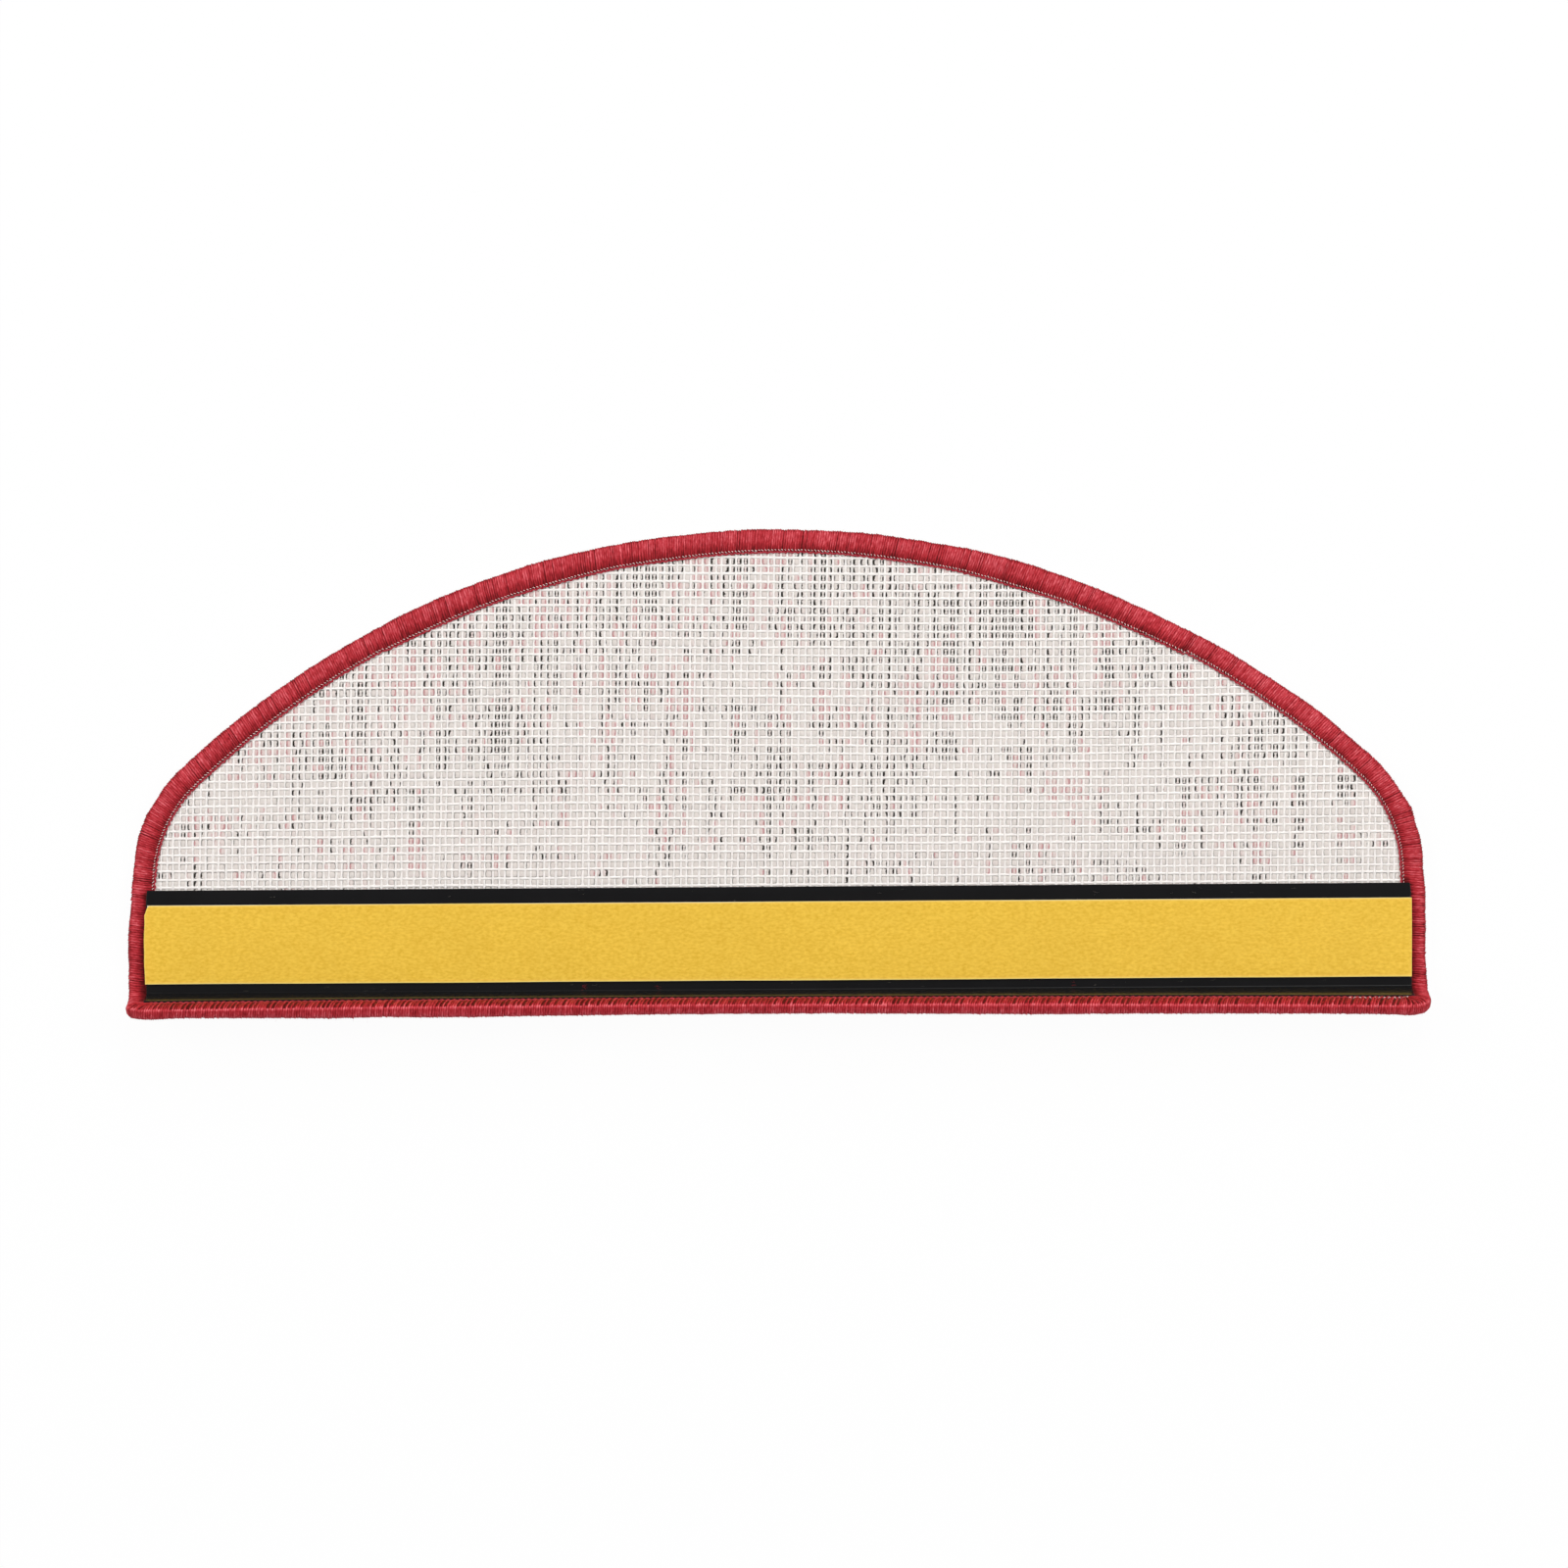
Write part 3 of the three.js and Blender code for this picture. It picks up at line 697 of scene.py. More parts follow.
m = Finish("needle_thread")
spun = m.streaks(4000.0, 4000.0)
pale = m.mottled(colour(255, 236, 232), 0.2, 900.0)[0]
needle = m.done(m.mix(m.times(spun, 0.35), pale, colour(244, 186, 186)), 0.55, spun, 0.05)

m = Finish("looper_thread")
spun = m.streaks(3000.0, 3000.0)
red = m.mottled(colour(196, 52, 66), 0.9, 500.0)[0]
looper = m.done(m.mix(spun, colour(132, 22, 36), red), 0.75, spun, 0.08)

LIP_STITCH, STITCHES_FROM = 2.45, 284.0
needle_thread = edge_thread(
    "needle_thread",
    period=1.7,
    per_period=4,
    inset_of=lambda turn: 10.4 + 0.3 * np.cos(turn),
    lift_of=lambda turn, u, on_rim: 5.68
    + 0.6 * (1 - on_rim) * np.sin(turn)
    + on_rim * np.where(u > STITCHES_FROM, 0.65 + 0.6 * np.sin(2 * np.pi * u / LIP_STITCH), -0.7),
    half=lambda on_rim: (0.22, 0.2),
    jitter=0.06,
    sides=5,
    slot="seam_thread",
    material=needle,
    replaces=["seam_thread"],
)
looper_thread = edge_thread(
    "looper_thread",
    period=3.1,
    per_period=5,
    inset_of=lambda turn: 11.5 + 0.25 * np.sin(turn),
    lift_of=lambda turn, u, on_rim: 5.5 + 0.65 * on_rim + (0.1 + 0.15 * on_rim) * np.cos(turn),
    half=lambda on_rim: (0.55 + 0.1 * on_rim, 0.33 + 0.42 * on_rim),
    jitter=0.12,
    sides=6,
    slot="edge_yarn",
    material=looper,
)

# %% [markdown]
# ## The carpet
#
# The carpet is a slab four millimetres thick, cut to the outline and folded with the lip. It is a stack of
# rings: each ring crosses the mat at one `v`, low side out and high side back, and the rings are joined and
# capped. Where the sheet bends, the stations stand closer. The same function makes the net's hidden part.

# %% Folded slabs
BEND_FROM = -1.12 * FOLD_RADIUS * np.pi / 2


def stations(inset):
    """Values of v from the rim to the top of the arch: close at the round ends and within the fold."""
    bottom, top = RIM_V + inset, TREAD_DEPTH - inset
    corner = bottom + 0.05 + (LIP_CORNER - inset) * (1 - np.cos(np.linspace(0, np.pi / 2, 9)))[:-1]
    bend = np.linspace(BEND_FROM, 0, 13)
    lip_rows = np.linspace(corner[-1] + 2, bend[0] - 1, 5)
    tread = np.linspace(6, SHOULDER_HEIGHT, 8)
    crown = top - 0.05 - (top - SHOULDER_HEIGHT) * (1 - np.sin(np.linspace(0, np.pi / 2, 30)[1:]))
    return np.unique(np.concatenate([corner, lip_rows, bend, tread, crown]))


def slab(v, half, low, high, columns=26):
    """Rings across the mat at each v, from -half to half at height low and back at height high."""
    t = np.linspace(-1, 1, columns)
    across = np.concatenate([t, t[::-1]])
    level = np.repeat([low, high], columns)
    return fold(half[:, None] * across, v[:, None], level), shell_faces(len(v), columns)


# %% [markdown]
# ### The back of the carpet
#
# Between the net's threads the tufts' backs show: a pale grey latex skin with a crescent of coloured yarn at
# one side of each opening. Neighbouring tufts come from one yarn, so the colours run in streaks, some along
# the rows and some along the columns. The streaks are seeded white noise, smoothed far in one direction and
# hardly at all in the other, which is a product with a stretched bell curve in the frequency domain. There
# is more colour towards the arch than towards the angle.

# %% The net's grid and the streaks of colour
WARP_PITCH, WEFT_PITCH = 3.25, 4.09
WARPS, WEFTS, ROWS_BELOW, FIRST_WEFT = 197, 43, 22, 48.0
SHOWN_INSET, THREADS_INSET = 9.5, 6.5
uneven = np.random.default_rng(12).normal(0, 0.2, WARPS)
warp_u = (np.arange(WARPS) - WARPS // 2) * WARP_PITCH + np.clip(uneven, -0.4, 0.4)
gap = np.append(np.diff(warp_u), WARP_PITCH)
weft_v = FIRST_WEFT + np.arange(WEFTS) * WEFT_PITCH
tuft_row_v = weft_v[0] + (np.arange(-ROWS_BELOW, WEFTS + 3) + 0.5) * WEFT_PITCH
streak_rng = np.random.default_rng(2)
cells = (len(tuft_row_v), WARPS)


def smooth_noise(rows, columns):
    """White noise blurred by that many cells each way, scaled to a spread of one."""
    noise = np.fft.fft2(streak_rng.normal(size=cells))
    f_rows, f_columns = np.fft.fftfreq(cells[0])[:, None], np.fft.fftfreq(cells[1])[None]
    kept = np.exp(-2 * np.pi**2 * ((f_rows * rows) ** 2 + (f_columns * columns) ** 2))
    smooth = np.real(np.fft.ifft2(noise * kept))
    return smooth / smooth.std()


cell_u, cell_v = np.meshgrid(warp_u + gap / 2, tuft_row_v)
dyes = ((0.8, 0.3, 4.0), (0.9, 4.0, 0.3), (0.35, 5, 9), (0.75, 0.1, 0.1))
blacks = ((0.5, 2, 4), (0.9, 1.5, 0.3), (0.7, 0.2, 0.2))
dye_over, black_over = (sum(w * smooth_noise(*blur) for w, *blur in part) for part in (dyes, blacks))
dark = logistic(2.0 * (dye_over + 1.45 * (cell_v - 128) / 75 + 0.15))
black_share = logistic(2.5 * (black_over + 0.7))
print(f"{np.mean(dark > 0.5):.0%} of the openings show coloured yarn")

# %% Tuft backs
WIDE, LONG = 2.6, 3.3
shown = (inside(cell_u, cell_v, SHOWN_INSET) > 0.5) & (cell_v > weft_v[0])
count = int(shown.sum())
tuft_rng = np.random.default_rng(8)
side_of_column = np.where(tuft_rng.uniform(size=cells[1]) < 0.5, -1.0, 1.0)[None] * np.ones((cells[0], 1))
side_of_cell = np.where(tuft_rng.uniform(size=cells) < 0.15, -side_of_column, side_of_column)[shown]
both_sides = (tuft_rng.uniform(size=cells[1]) < 0.25)[None].repeat(cells[0], 0)[shown]
angle = np.arange(8) * np.pi / 4 + np.pi / 8
corners = np.stack([np.cos(angle), np.sin(angle)], axis=-1)
rim_shape = np.sign(corners) * np.abs(corners) ** 0.7
ring_u, ring_v = np.concatenate([rim_shape, 0.62 * rim_shape, [[0.0, 0.0]]]).T
ring_h = np.repeat([4.6, 4.78, 4.82], [8, 8, 1])
shift = tuft_rng.normal(0, 0.09, (count, 1))
stretched = np.broadcast_to(gap / WARP_PITCH, cells)[shown][:, None]
tuft_u = cell_u[shown][:, None] + ring_u * WIDE / 2 * stretched + shift
tuft_v = cell_v[shown][:, None] + ring_v * LONG / 2
tuft_h = ring_h + tuft_rng.normal(0, 0.05, (count, 1)) + tuft_rng.normal(0, 0.03, (count, 17))
reach = side_of_cell[:, None] * ring_u + tuft_rng.normal(0, 0.1, (count, 17))
one_side, two_sides = (np.clip(3.0 * edge, 0, 1) for edge in (reach - 0.22, np.abs(ring_u) - 0.3))
crescent = np.where(both_sides[:, None], two_sides, one_side)
first, second = np.arange(8), (np.arange(8) + 1) % 8
dome_quads = np.stack([first, second, second + 8, first + 8], axis=-1)
dome_tris = np.stack([first + 8, second + 8, np.full(8, 16)], axis=-1)
offset = 17 * np.arange(count)[:, None, None]

# %% Finish of the tuft backs
m = Finish("tuft_backs")
yarn_colour = m.mix(m.math("GREATER_THAN", m.stored("black"), 0.5), colour(200, 150, 150), colour(36, 29, 22))
blush = m.mix(m.stored("tint"), colour(222, 214, 208), colour(221, 196, 192))
spun = m.streaks(1800.0, 5000.0)
edged = m.times(m.stored("dye"), m.plus(spun, 0.5))
strength = m.times(m.minus(edged, 0.24), 2.9, clamp=True)
latex = m.done(m.mix(strength, m.mottled(blush, 0.25, 500.0)[0], yarn_colour), 0.8, spun, 0.08)

tuft_backs = make_piece(
    "tuft_backs",
    fold(tuft_u, tuft_v, tuft_h),
    [(dome_quads[None] + offset).reshape(-1, 4), (dome_tris[None] + offset).reshape(-1, 3)],
    slot="carpet_pile",
    material=latex,
    closed=False,
    dye=dark[shown][:, None] * crescent,
    black=black_share[shown][:, None],
    tint=(dark * (1 - black_share))[shown][:, None],
)

# %% [markdown]
# ### The slab itself
#
# Its back is the grey skin the tufts are bonded into.

# %% Carpet slab
m = Finish("carpet_skin")
grey, blotches = m.mottled(colour(196, 192, 186), 0.35, 420.0)
skin = m.done(grey, 0.85, blotches, 0.15)

CARPET_INSET = 2.7
v = stations(CARPET_INSET)
half = half_width_at(v, CARPET_INSET)
points, faces = slab(v, half, CARPET_LOW, CARPET_HIGH)
carpet = make_piece("carpet_slab", points, faces, "carpet_pile", skin, replaces=["carpet"], smooth=False)

# %% [markdown]
# ## The pile
#
# On the walking side stand the loops, one for every opening of the net. From the camera they are hidden, but
# the mat will be turned over and seen from its front. A loop is a small rounded hill, the product of two
# bumps sin^p, and each row is shifted half a loop against the last, which hides the grid. The lip's face is
# looked at more, so a loop there has five rows of points and a loop of the tread three. The colours are those
# of the tufts' backs: a red ground with dark and pale streaks where the back shows them.

# %% Loops
PILE_INSET, PILE_BACK, LOOP_DEEP = 10.45, 3.3, 2.88


def pile_piece(name, v, columns, material, seed):
    """The loops over a range of v: a closed shell, rounded at its front and flat inside the slab."""
    half = half_width_at(v, PILE_INSET)[:, None]
    u = half * np.linspace(-1, 1, columns)
    v = v[:, None]
    row = np.floor(v / WEFT_PITCH).astype(int)
    shifted = u / WARP_PITCH + 0.5 * (row % 2)
    column = np.floor(shifted).astype(int)
    bumps = np.abs(np.sin(np.pi * v / WEFT_PITCH)) ** 0.6 * np.abs(np.sin(np.pi * shifted)) ** 0.6
    lean_over = np.random.default_rng(seed).uniform(0.0, 1.0, (120, 260))[row + 20, column + 110]
    near_rim = np.minimum(half - np.abs(u), v - (RIM_V + PILE_INSET))
    rounded = np.sqrt(np.clip(near_rim / 2.2 + 0.15, 0, 1))
    hill = (0.45 + 0.55 * bumps) * (0.86 + 0.14 * lean_over) * rounded
    front = np.maximum(CARPET_LOW - LOOP_DEEP * hill, 0.0)
    loops = fold(u + 0.35 * (lean_over - 0.5) * bumps, v, front)
    back = fold(half * [1.0, -1.0], v, PILE_BACK)
    cell_row = np.clip(np.round((v - tuft_row_v[0]) / WEFT_PITCH).astype(int), 0, cells[0] - 1)
    cell = cell_row, np.clip(column + WARPS // 2, 0, cells[1] - 1)
    dyed = np.clip(dark[cell] + 0.5 * (lean_over - 0.5), 0, 1)
    numbers = {"tone": lean_over, "dye": dyed, "black": black_share[cell], "height": bumps}
    numbers = {key: np.pad(values, ((0, 0), (0, 2))) for key, values in numbers.items()}
    width = columns + 2
    caps = np.stack([np.arange(width)[::-1], np.arange(width) + (len(v) - 1) * width])
    faces = [grid_faces(len(v), width, close_columns=True), caps]
    return make_piece(name, np.concatenate([loops, back], axis=1), faces, "carpet_pile", material, **numbers)


# %% Finish of the pile
m = Finish("pile_loops")
spun = m.streaks(2600.0, 2600.0)
ground = m.mix(m.stored("tone"), colour(122, 24, 36), colour(172, 48, 60))
fleck = m.mix(m.stored("black"), colour(206, 150, 150), colour(44, 34, 36))
dyed = m.mottled(m.mix(m.stored("dye"), ground, fleck), 0.8, 350.0)[0]
soft = m.mix(m.times(spun, 0.55), dyed, colour(74, 12, 20))
# Painted shade: the colour darkens towards the hollows between the loops.
painted_shade_between_loops = m.times(m.minus(1.0, m.stored("height")), 0.7)
pile = m.done(m.mix(painted_shade_between_loops, soft, colour(48, 8, 14)), 0.95, spun, 0.3, Specular_IOR_Level=0.2)

SPLIT = 3.0
lip_rows = np.arange(RIM_V + PILE_INSET, SPLIT + 0.1, WEFT_PITCH / 5)
tread_rows = np.arange(SPLIT, TREAD_DEPTH - PILE_INSET - 0.5, WEFT_PITCH / 3)
lip_pile = pile_piece("pile_of_lip", lip_rows, 769, pile, 4)
tread_pile = pile_piece("pile_of_tread", tread_rows, 497, pile, 4)

# %% [markdown]
# ## The woven net
#
# The net is a plain weave of soft white threads, stiffened with latex: each warp thread passes over one weft
# and under the next. At a crossing the threads are pressed flat and wide, so the openings have round corners.
# All the warps are one call of `tubes` and all the wefts another, with two samples for each crossing. The
# threads end under the wrap, so the mask keeps what lies inside it.

# %% Warps and wefts
net_rng = np.random.default_rng(21)
m = Finish("net_thread")
spun = m.streaks(2600.0, 2600.0)
white = m.mottled(colour(252, 247, 243), 0.06, 260.0)[0]
net_finish = m.done(m.mix(m.times(spun, 0.25), white, colour(232, 225, 220)), 0.7, spun, 0.10)


def net_threads(name, u, v, half_wide, axis, sign, **rest):
    """Threads of the weave, two samples for each crossing. The height at a crossing is up or down by the
    weave's sign, and level between. They lie flat: their width runs along the axis."""
    u, v = np.broadcast_arrays(u, v)
    thread, sample = np.indices(u.shape)
    crossing = sample % 2 == 0
    over = np.where((thread + sample // 2) % 2 == 0, sign, -sign)
    level = NET_MIDDLE + 0.07 * over * crossing + net_rng.normal(0, 0.02, u.shape)
    thick = np.where(crossing, 0.22, 0.24) + net_rng.normal(0, 0.012, u.shape)
    wide = np.where(crossing, *half_wide) * (1 + net_rng.normal(0, 0.06, u.shape))
    wide = wide * (1 + net_rng.normal(0, 0.07, (len(u), 1)))
    across, above = (np.broadcast_to(np.eye(3)[k], u.shape + (3,)) for k in (axis, 2))
    rest.update(keep=inside(u, v, THREADS_INSET) > 0, material=net_finish, slot="backing_net")
    return tubes(name, fold(u, v, level), across, above, MM * wide, MM * thick, **rest)


def drift(spread, threads, samples):
    """How far each thread wanders aside along its length: a random walk."""
    return np.cumsum(net_rng.normal(0, spread, (threads, samples)), axis=1)


warp_drift = drift(0.05, WARPS, 2 * WEFTS)
warp_drift = np.clip(warp_drift - warp_drift.mean(axis=1, keepdims=True), -0.28, 0.28)
weft_drift = np.clip(drift(0.03, WEFTS, 2 * WARPS), -0.5, 0.5)
weft_drift -= weft_drift.mean(axis=1, keepdims=True)
along_v = weft_v[0] + np.arange(2 * WEFTS) * WEFT_PITCH / 2
along_u = np.interp(np.arange(2 * WARPS) / 2, np.arange(WARPS), warp_u)
across_u, up_v = warp_u[:, None] + warp_drift, weft_v[:, None] + weft_drift
net_warps = net_threads("net_warps", across_u, along_v, (0.74, 0.52), 0, 1.0, replaces=["backing_net"])
net_wefts = net_threads("net_wefts", along_u, up_v, (0.84, 0.64), 1, -1.0)

# %% [markdown]
# Under the angle and up the lip the net is hidden, except for a sliver between the angle's edge and the wrap.
# A plain folded sheet stands for it there.

# %% The hidden part of the net
UNDER_TO = 50.5
v = stations(CARPET_INSET)
v = np.append(v[v < UNDER_TO], UNDER_TO)
points, faces = slab(v, half_width_at(v, CARPET_INSET), NET_LOW, NET_TOP)
net_under = make_piece("net_under", points, faces, "backing_net", net_finish, smooth=False)

# %% [markdown]
# ## The plastic angle
#
# An extruded strip of black plastic, bent to an angle when it was made. Its section is a closed line in the
# pattern, with rounded edges, and folding it gives the bend. It is carried across the mat in 48 stations so
# that it follows the lip's changing lean. Real extrusions have fine lines along their length and a satin
# gloss, and this one mirrors the yellow liner in its upright leg, which shows as a brown band. A faint pale
# line along the inner corner, stronger to the right, is a painted highlight in the plastic's colour.

# %% Section of the angle, as v and h
EDGE, TAPER_LONG, TAPER_DEEP = 0.4, 1.2, 0.55
quarter = np.radians([0, 22.5, 45, 67.5, 90])
sine, cosine = np.sin(quarter), np.cos(quarter)
taper_from = TAPER_LONG - LEAN_ARC - LIP_LEG
straight_lip = np.linspace(taper_from, BEND_FROM, 6)[1:]
bend = np.linspace(-1.08 * FOLD_RADIUS * np.pi / 2, 0, 18)
straight_tread = [2.0, 12.0, 24.0, 36.0, 46.0]
top_v = np.concatenate(
    [taper_from - TAPER_LONG * cosine, straight_lip, bend, straight_tread, TREAD_LEG - EDGE + EDGE * sine]
)
top_h, low_h = np.full(len(top_v), PROFILE_TOP), np.full(len(top_v), PROFILE_BOTTOM)
top_h[:5] -= TAPER_DEEP * (1 - sine)
top_h[-5:] -= EDGE * (1 - cosine)
low_h[:5] += 0.1 * (1 - sine)
low_h[-5:] += 0.25 * (1 - cosine)
section_v, section_h = np.concatenate([top_v, top_v[::-1]]), np.concatenate([top_h, low_h[::-1]])

# %% Finish of the angle
PAINTED_HIGHLIGHT_V = -0.785 * FOLD_RADIUS
m = Finish("black_plastic")
place = m.pattern_place()
scuffed, scuffs = m.mottled(colour(27, 27, 28), 0.4, 35.0)
cells_of = m.add("ShaderNodeTexVoronoi", {"Vector": m.place(), "Scale": 190.0, "Randomness": 1.0})
speck = m.math("LESS_THAN", cells_of.outputs["Distance"], 0.045)
rare = m.add("ShaderNodeSeparateColor", {"Color": cells_of.outputs["Color"]}).outputs[0]
dust = m.times(speck, m.math("GREATER_THAN", rare, 0.93))
# A painted highlight: a pale line in the colour along the angle's inner corner, stronger to the right.
spot = m.add("ShaderNodeSeparateXYZ", {"Vector": place}).outputs
from_line = m.math("ABSOLUTE", m.minus(spot["Y"], PAINTED_HIGHLIGHT_V * MM), 0.0)
painted_highlight_strip = m.minus(1.0, m.math("DIVIDE", from_line, 0.45 * FOLD_RADIUS * MM), clamp=True)
to_the_right = m.plus(m.times(spot["X"], 1.6), 0.35, clamp=True)
with_painted_highlight = m.mix(m.times(painted_highlight_strip, to_the_right), scuffed, colour(72, 74, 74))
dusty = m.mix(m.times(dust, 0.45), with_painted_highlight, colour(150, 146, 138))
rough = m.plus(m.plus(m.times(scuffs, 0.10), 0.14), m.times(dust, 0.4))
lines = m.streaks(2600.0, 6.0, place)
TINT = (0.82, 0.62, 0.52, 1.0)
plastic = m.done(dusty, rough, lines, 0.012, IOR=1.32, Specular_Tint=TINT)

# %% Angle
PROFILE_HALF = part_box("angle_profile")[1].x / MM
CUT_SHORT = 1.2
t = np.concatenate([[-1, -0.9992, -0.997], np.linspace(-0.985, 0.985, 42), [0.997, 0.9992, 1]])[:, None]
half = PROFILE_HALF - np.clip((section_v - (TREAD_LEG - 1.4)) / 1.4, 0, 1) ** 2
u = t * half + CUT_SHORT * np.clip(-t, 0, 1)
make_piece(
    "angle_profile_rounded",
    fold(u, section_v, section_h),
    shell_faces(len(t), len(top_v)),
    slot="black_plastic",
    material=plastic,
    replaces=["angle_profile"],
    pattern=(u, section_v),
)

# %% [markdown]
# ## Adhesive, tape and liner
#
# Two strips of adhesive bond the angle to the net, hardly seen but at the angle's edges. The mounting tape is
# white foam, and it stops a little short of the angle's left end. The liner on top is yellow waxed paper, cut
# a little askew by hand: its left end wanders, its corner is clipped, and its cut edges carry a painted
# highlight. It is a thin grid with its border rows set close to the edge.

# %% Adhesive strips
m = Finish("adhesive")
cream, blotches = m.mottled(colour(206, 198, 178), 0.4, 300.0)
glue = m.done(cream, 0.55, blotches, 0.1)

strip_half = PROFILE_HALF - 14.0
for name, v_from, v_to, top in (
    ("bond_strip_tread", 2.0, TREAD_LEG - 2.0, PROFILE_BOTTOM),
    ("bond_strip_lip", -LEAN_ARC - LIP_LEG + 2.0, -LEAN_ARC - 2.0, PROFILE_BOTTOM - 0.2),
):
    edge = strip_half - 0.3 * np.array([1, 0, 0, 0, 0, 1])
    points, faces = slab(np.linspace(v_from, v_to, 6), edge, NET_TOP + 0.3, top)
    make_piece(name + "_bead", points, faces, "adhesive", glue, replaces=[name], smooth=False)

# %% Foam tape
m = Finish("white_foam")
cells_of = m.add("ShaderNodeTexVoronoi", {"Vector": m.place(), "Scale": 4200.0, "Randomness": 1.0})
pores = cells_of.outputs["Distance"]
pale = m.mottled(colour(222, 217, 206), 0.15, 400.0)[0]
foam = m.done(m.mix(m.times(pores, 0.4), pale, colour(205, 198, 184)), 0.9, pores, 0.08)

(left, low, bottom), (right, high, top) = (np.array(corner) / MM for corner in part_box("mounting_tape"))
high -= 0.5
bulge = 0.12 * (np.sin(np.linspace(0, np.pi, 5)) - 1)
across = np.concatenate([[left + 1.9, left + 2.2], np.linspace(-300, 300, 41), [right - 0.6, right - 0.3]])
wall = np.linspace(bottom, top, 5)
ring_y, ring_z = np.concatenate([low - bulge, high + bulge[::-1]]), np.concatenate([wall, wall[::-1]])
make_piece(
    "foam_strip",
    MM * np.stack(np.broadcast_arrays(across[:, None], ring_y, ring_z), axis=-1),
    shell_faces(len(across), len(wall)),
    slot="tape_foam",
    material=foam,
    replaces=["mounting_tape"],
    smooth=False,
)

# %% Outline of the liner
liner_low, liner_high = (np.array(corner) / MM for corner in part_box("release_liner"))
left, right = liner_low[0], liner_high[0]
BORDER = np.array([0.0, 0.35, 1.2])
rows_v = np.concatenate([low + BORDER, np.linspace(low + 5, high - 5, 14), high - BORDER[::-1]])[:, None]
share = (rows_v - low) / (high - low)
clipped = 2.2 * np.clip((rows_v - (high - 2.6)) / 2.6, 0, 1)
left_edge = left + 0.95 + 0.22 * np.sin(2.2 + 5.5 * share) + 0.08 * np.sin(19 * share) + clipped
right_edge = right + 0.15 - 0.1 * np.cos(4 * share)
near_end = BORDER / (right - left)
t = np.concatenate([near_end, np.linspace(0.008, 0.992, 90), 1 - near_end[::-1]])
u = left_edge + (right_edge - left_edge) * t

# %% Liner
border = np.zeros(rows_v.shape)
border[:3], border[-3:] = -1.0, 1.0
trim = 0.12 * np.sin(u / 37.0) + 0.08 * np.sin(u / 13.0 + 1)
liner_v = rows_v + border * (0.5 * trim - 0.1)
cockle = 0.05 * np.sin(u / 23.0 + liner_v / 11.0) * np.sin(liner_v / 9.0) * (1 - np.abs(border))
# Painted highlight: the cut edges, and half as much the ends, are painted paler.
painted_end_highlight = 0.5 * np.clip(1 - np.minimum(t, 1 - t) * (right - left) / 0.5, 0, 1)
painted_edge_highlight = np.maximum(painted_end_highlight, np.clip(1 - np.minimum(rows_v - low, high - rows_v) / 0.5, 0, 1))
heights = np.stack([liner_high[2] + 0.05 + cockle, np.full(u.shape, liner_low[2])])
points = MM * np.stack(np.broadcast_arrays(u, liner_v, heights), axis=-1)
R, C = u.shape
sheet = grid_faces(R, C)
number = np.arange(R * C).reshape(R, C)
loop = np.concatenate([number[0], number[1:, -1], number[-1, -2::-1], number[-2:0:-1, 0]])
after = np.roll(loop, -1)
wall = np.stack([loop, after, after + R * C, loop + R * C], axis=-1)

m = Finish("yellow_liner")
grain = m.streaks(900.0, 480.0)
paper = m.mottled(colour(241, 199, 73), 0.14, 30.0)[0]
flecks = m.times(m.minus(grain, 0.35, clamp=True), 2.0, clamp=True)
grained = m.mix(flecks, paper, colour(218, 166, 36))
# The paler cut edges are a painted highlight.
edged = m.mix(m.stored("edge"), grained, colour(255, 226, 136))
make_piece(
    "liner_sheet",
    points,
    np.concatenate([sheet[:, ::-1], sheet + R * C, wall]),
    slot="yellow_liner",
    material=m.done(edged, 0.5, grain, 0.02, Specular_IOR_Level=0.3),
    replaces=["release_liner"],
    smooth=False,
    edge=painted_edge_highlight,
)

# %% [markdown]
# ## Fuzz and lint
#
# Spun yarn is never clean. Short fibres stand off the wrap all round and soften its outline, and a few stray
# ones lie on the black plastic, which shows every one of them. Each is a thin curl: a short path that bends
# by a random arc, made with the same `tubes`.


# %% Curls
def curls(name, root, direction, sideways, length, radius, seed, steps=5, **rest):
    """Thin fibres from root along direction, bending sideways by an arc: p = root + d L t + s L b t^2."""
    count = len(root)
    t = np.linspace(0, 1, steps)[None, :, None]
    bend = np.random.default_rng(seed).normal(0, 0.6, (count, 1, 1))
    path = direction[:, None] * t + sideways[:, None] * bend * t**2
    taper = np.broadcast_to(radius * np.linspace(1, 0.5, steps), (count, steps))
    side, over = (
        np.broadcast_to(way[:, None], path.shape) for way in (sideways, np.cross(direction, sideways))
    )
    centre = root[:, None] + length[:, None, None] * path
    return tubes(name, centre, side, over, taper, taper, sides=3, **rest)


# %% Fuzz of the wrap
FUZZ, LINT, FLUFF = 2600, 46, 34
fuzz_rng = np.random.default_rng(31)
grown = fuzz_rng.integers(0, len(steps), FUZZ)
spot = fuzz_rng.integers(1, 11, FUZZ)
root = yarn_points[grown, spot]
ahead = unit(yarn_points[(grown + 3) % len(steps), spot] - root)
around_wrap = unit(yarn_points[grown, spot + 1] - yarn_points[grown, spot - 1])
off = unit(np.cross(ahead, around_wrap))
from_middle = root - yarn_points[grown].mean(axis=1)
off *= np.sign(np.sum(off * from_middle, axis=1, keepdims=True))
lean_along = fuzz_rng.normal(0, 1.0, (FUZZ, 1)) * ahead + fuzz_rng.normal(0, 0.8, (FUZZ, 1)) * around_wrap
direction = unit(off * fuzz_rng.uniform(0.25, 0.9, (FUZZ, 1)) + lean_along)
rise = direction[:, 2]
direction[:, 2] = np.where(root[:, 2] + 0.002 * rise < 0.0003, np.abs(rise), rise)
sideways = unit(np.cross(direction, fuzz_rng.normal(size=(FUZZ, 3)))) * [1.0, 1.0, 0.3]
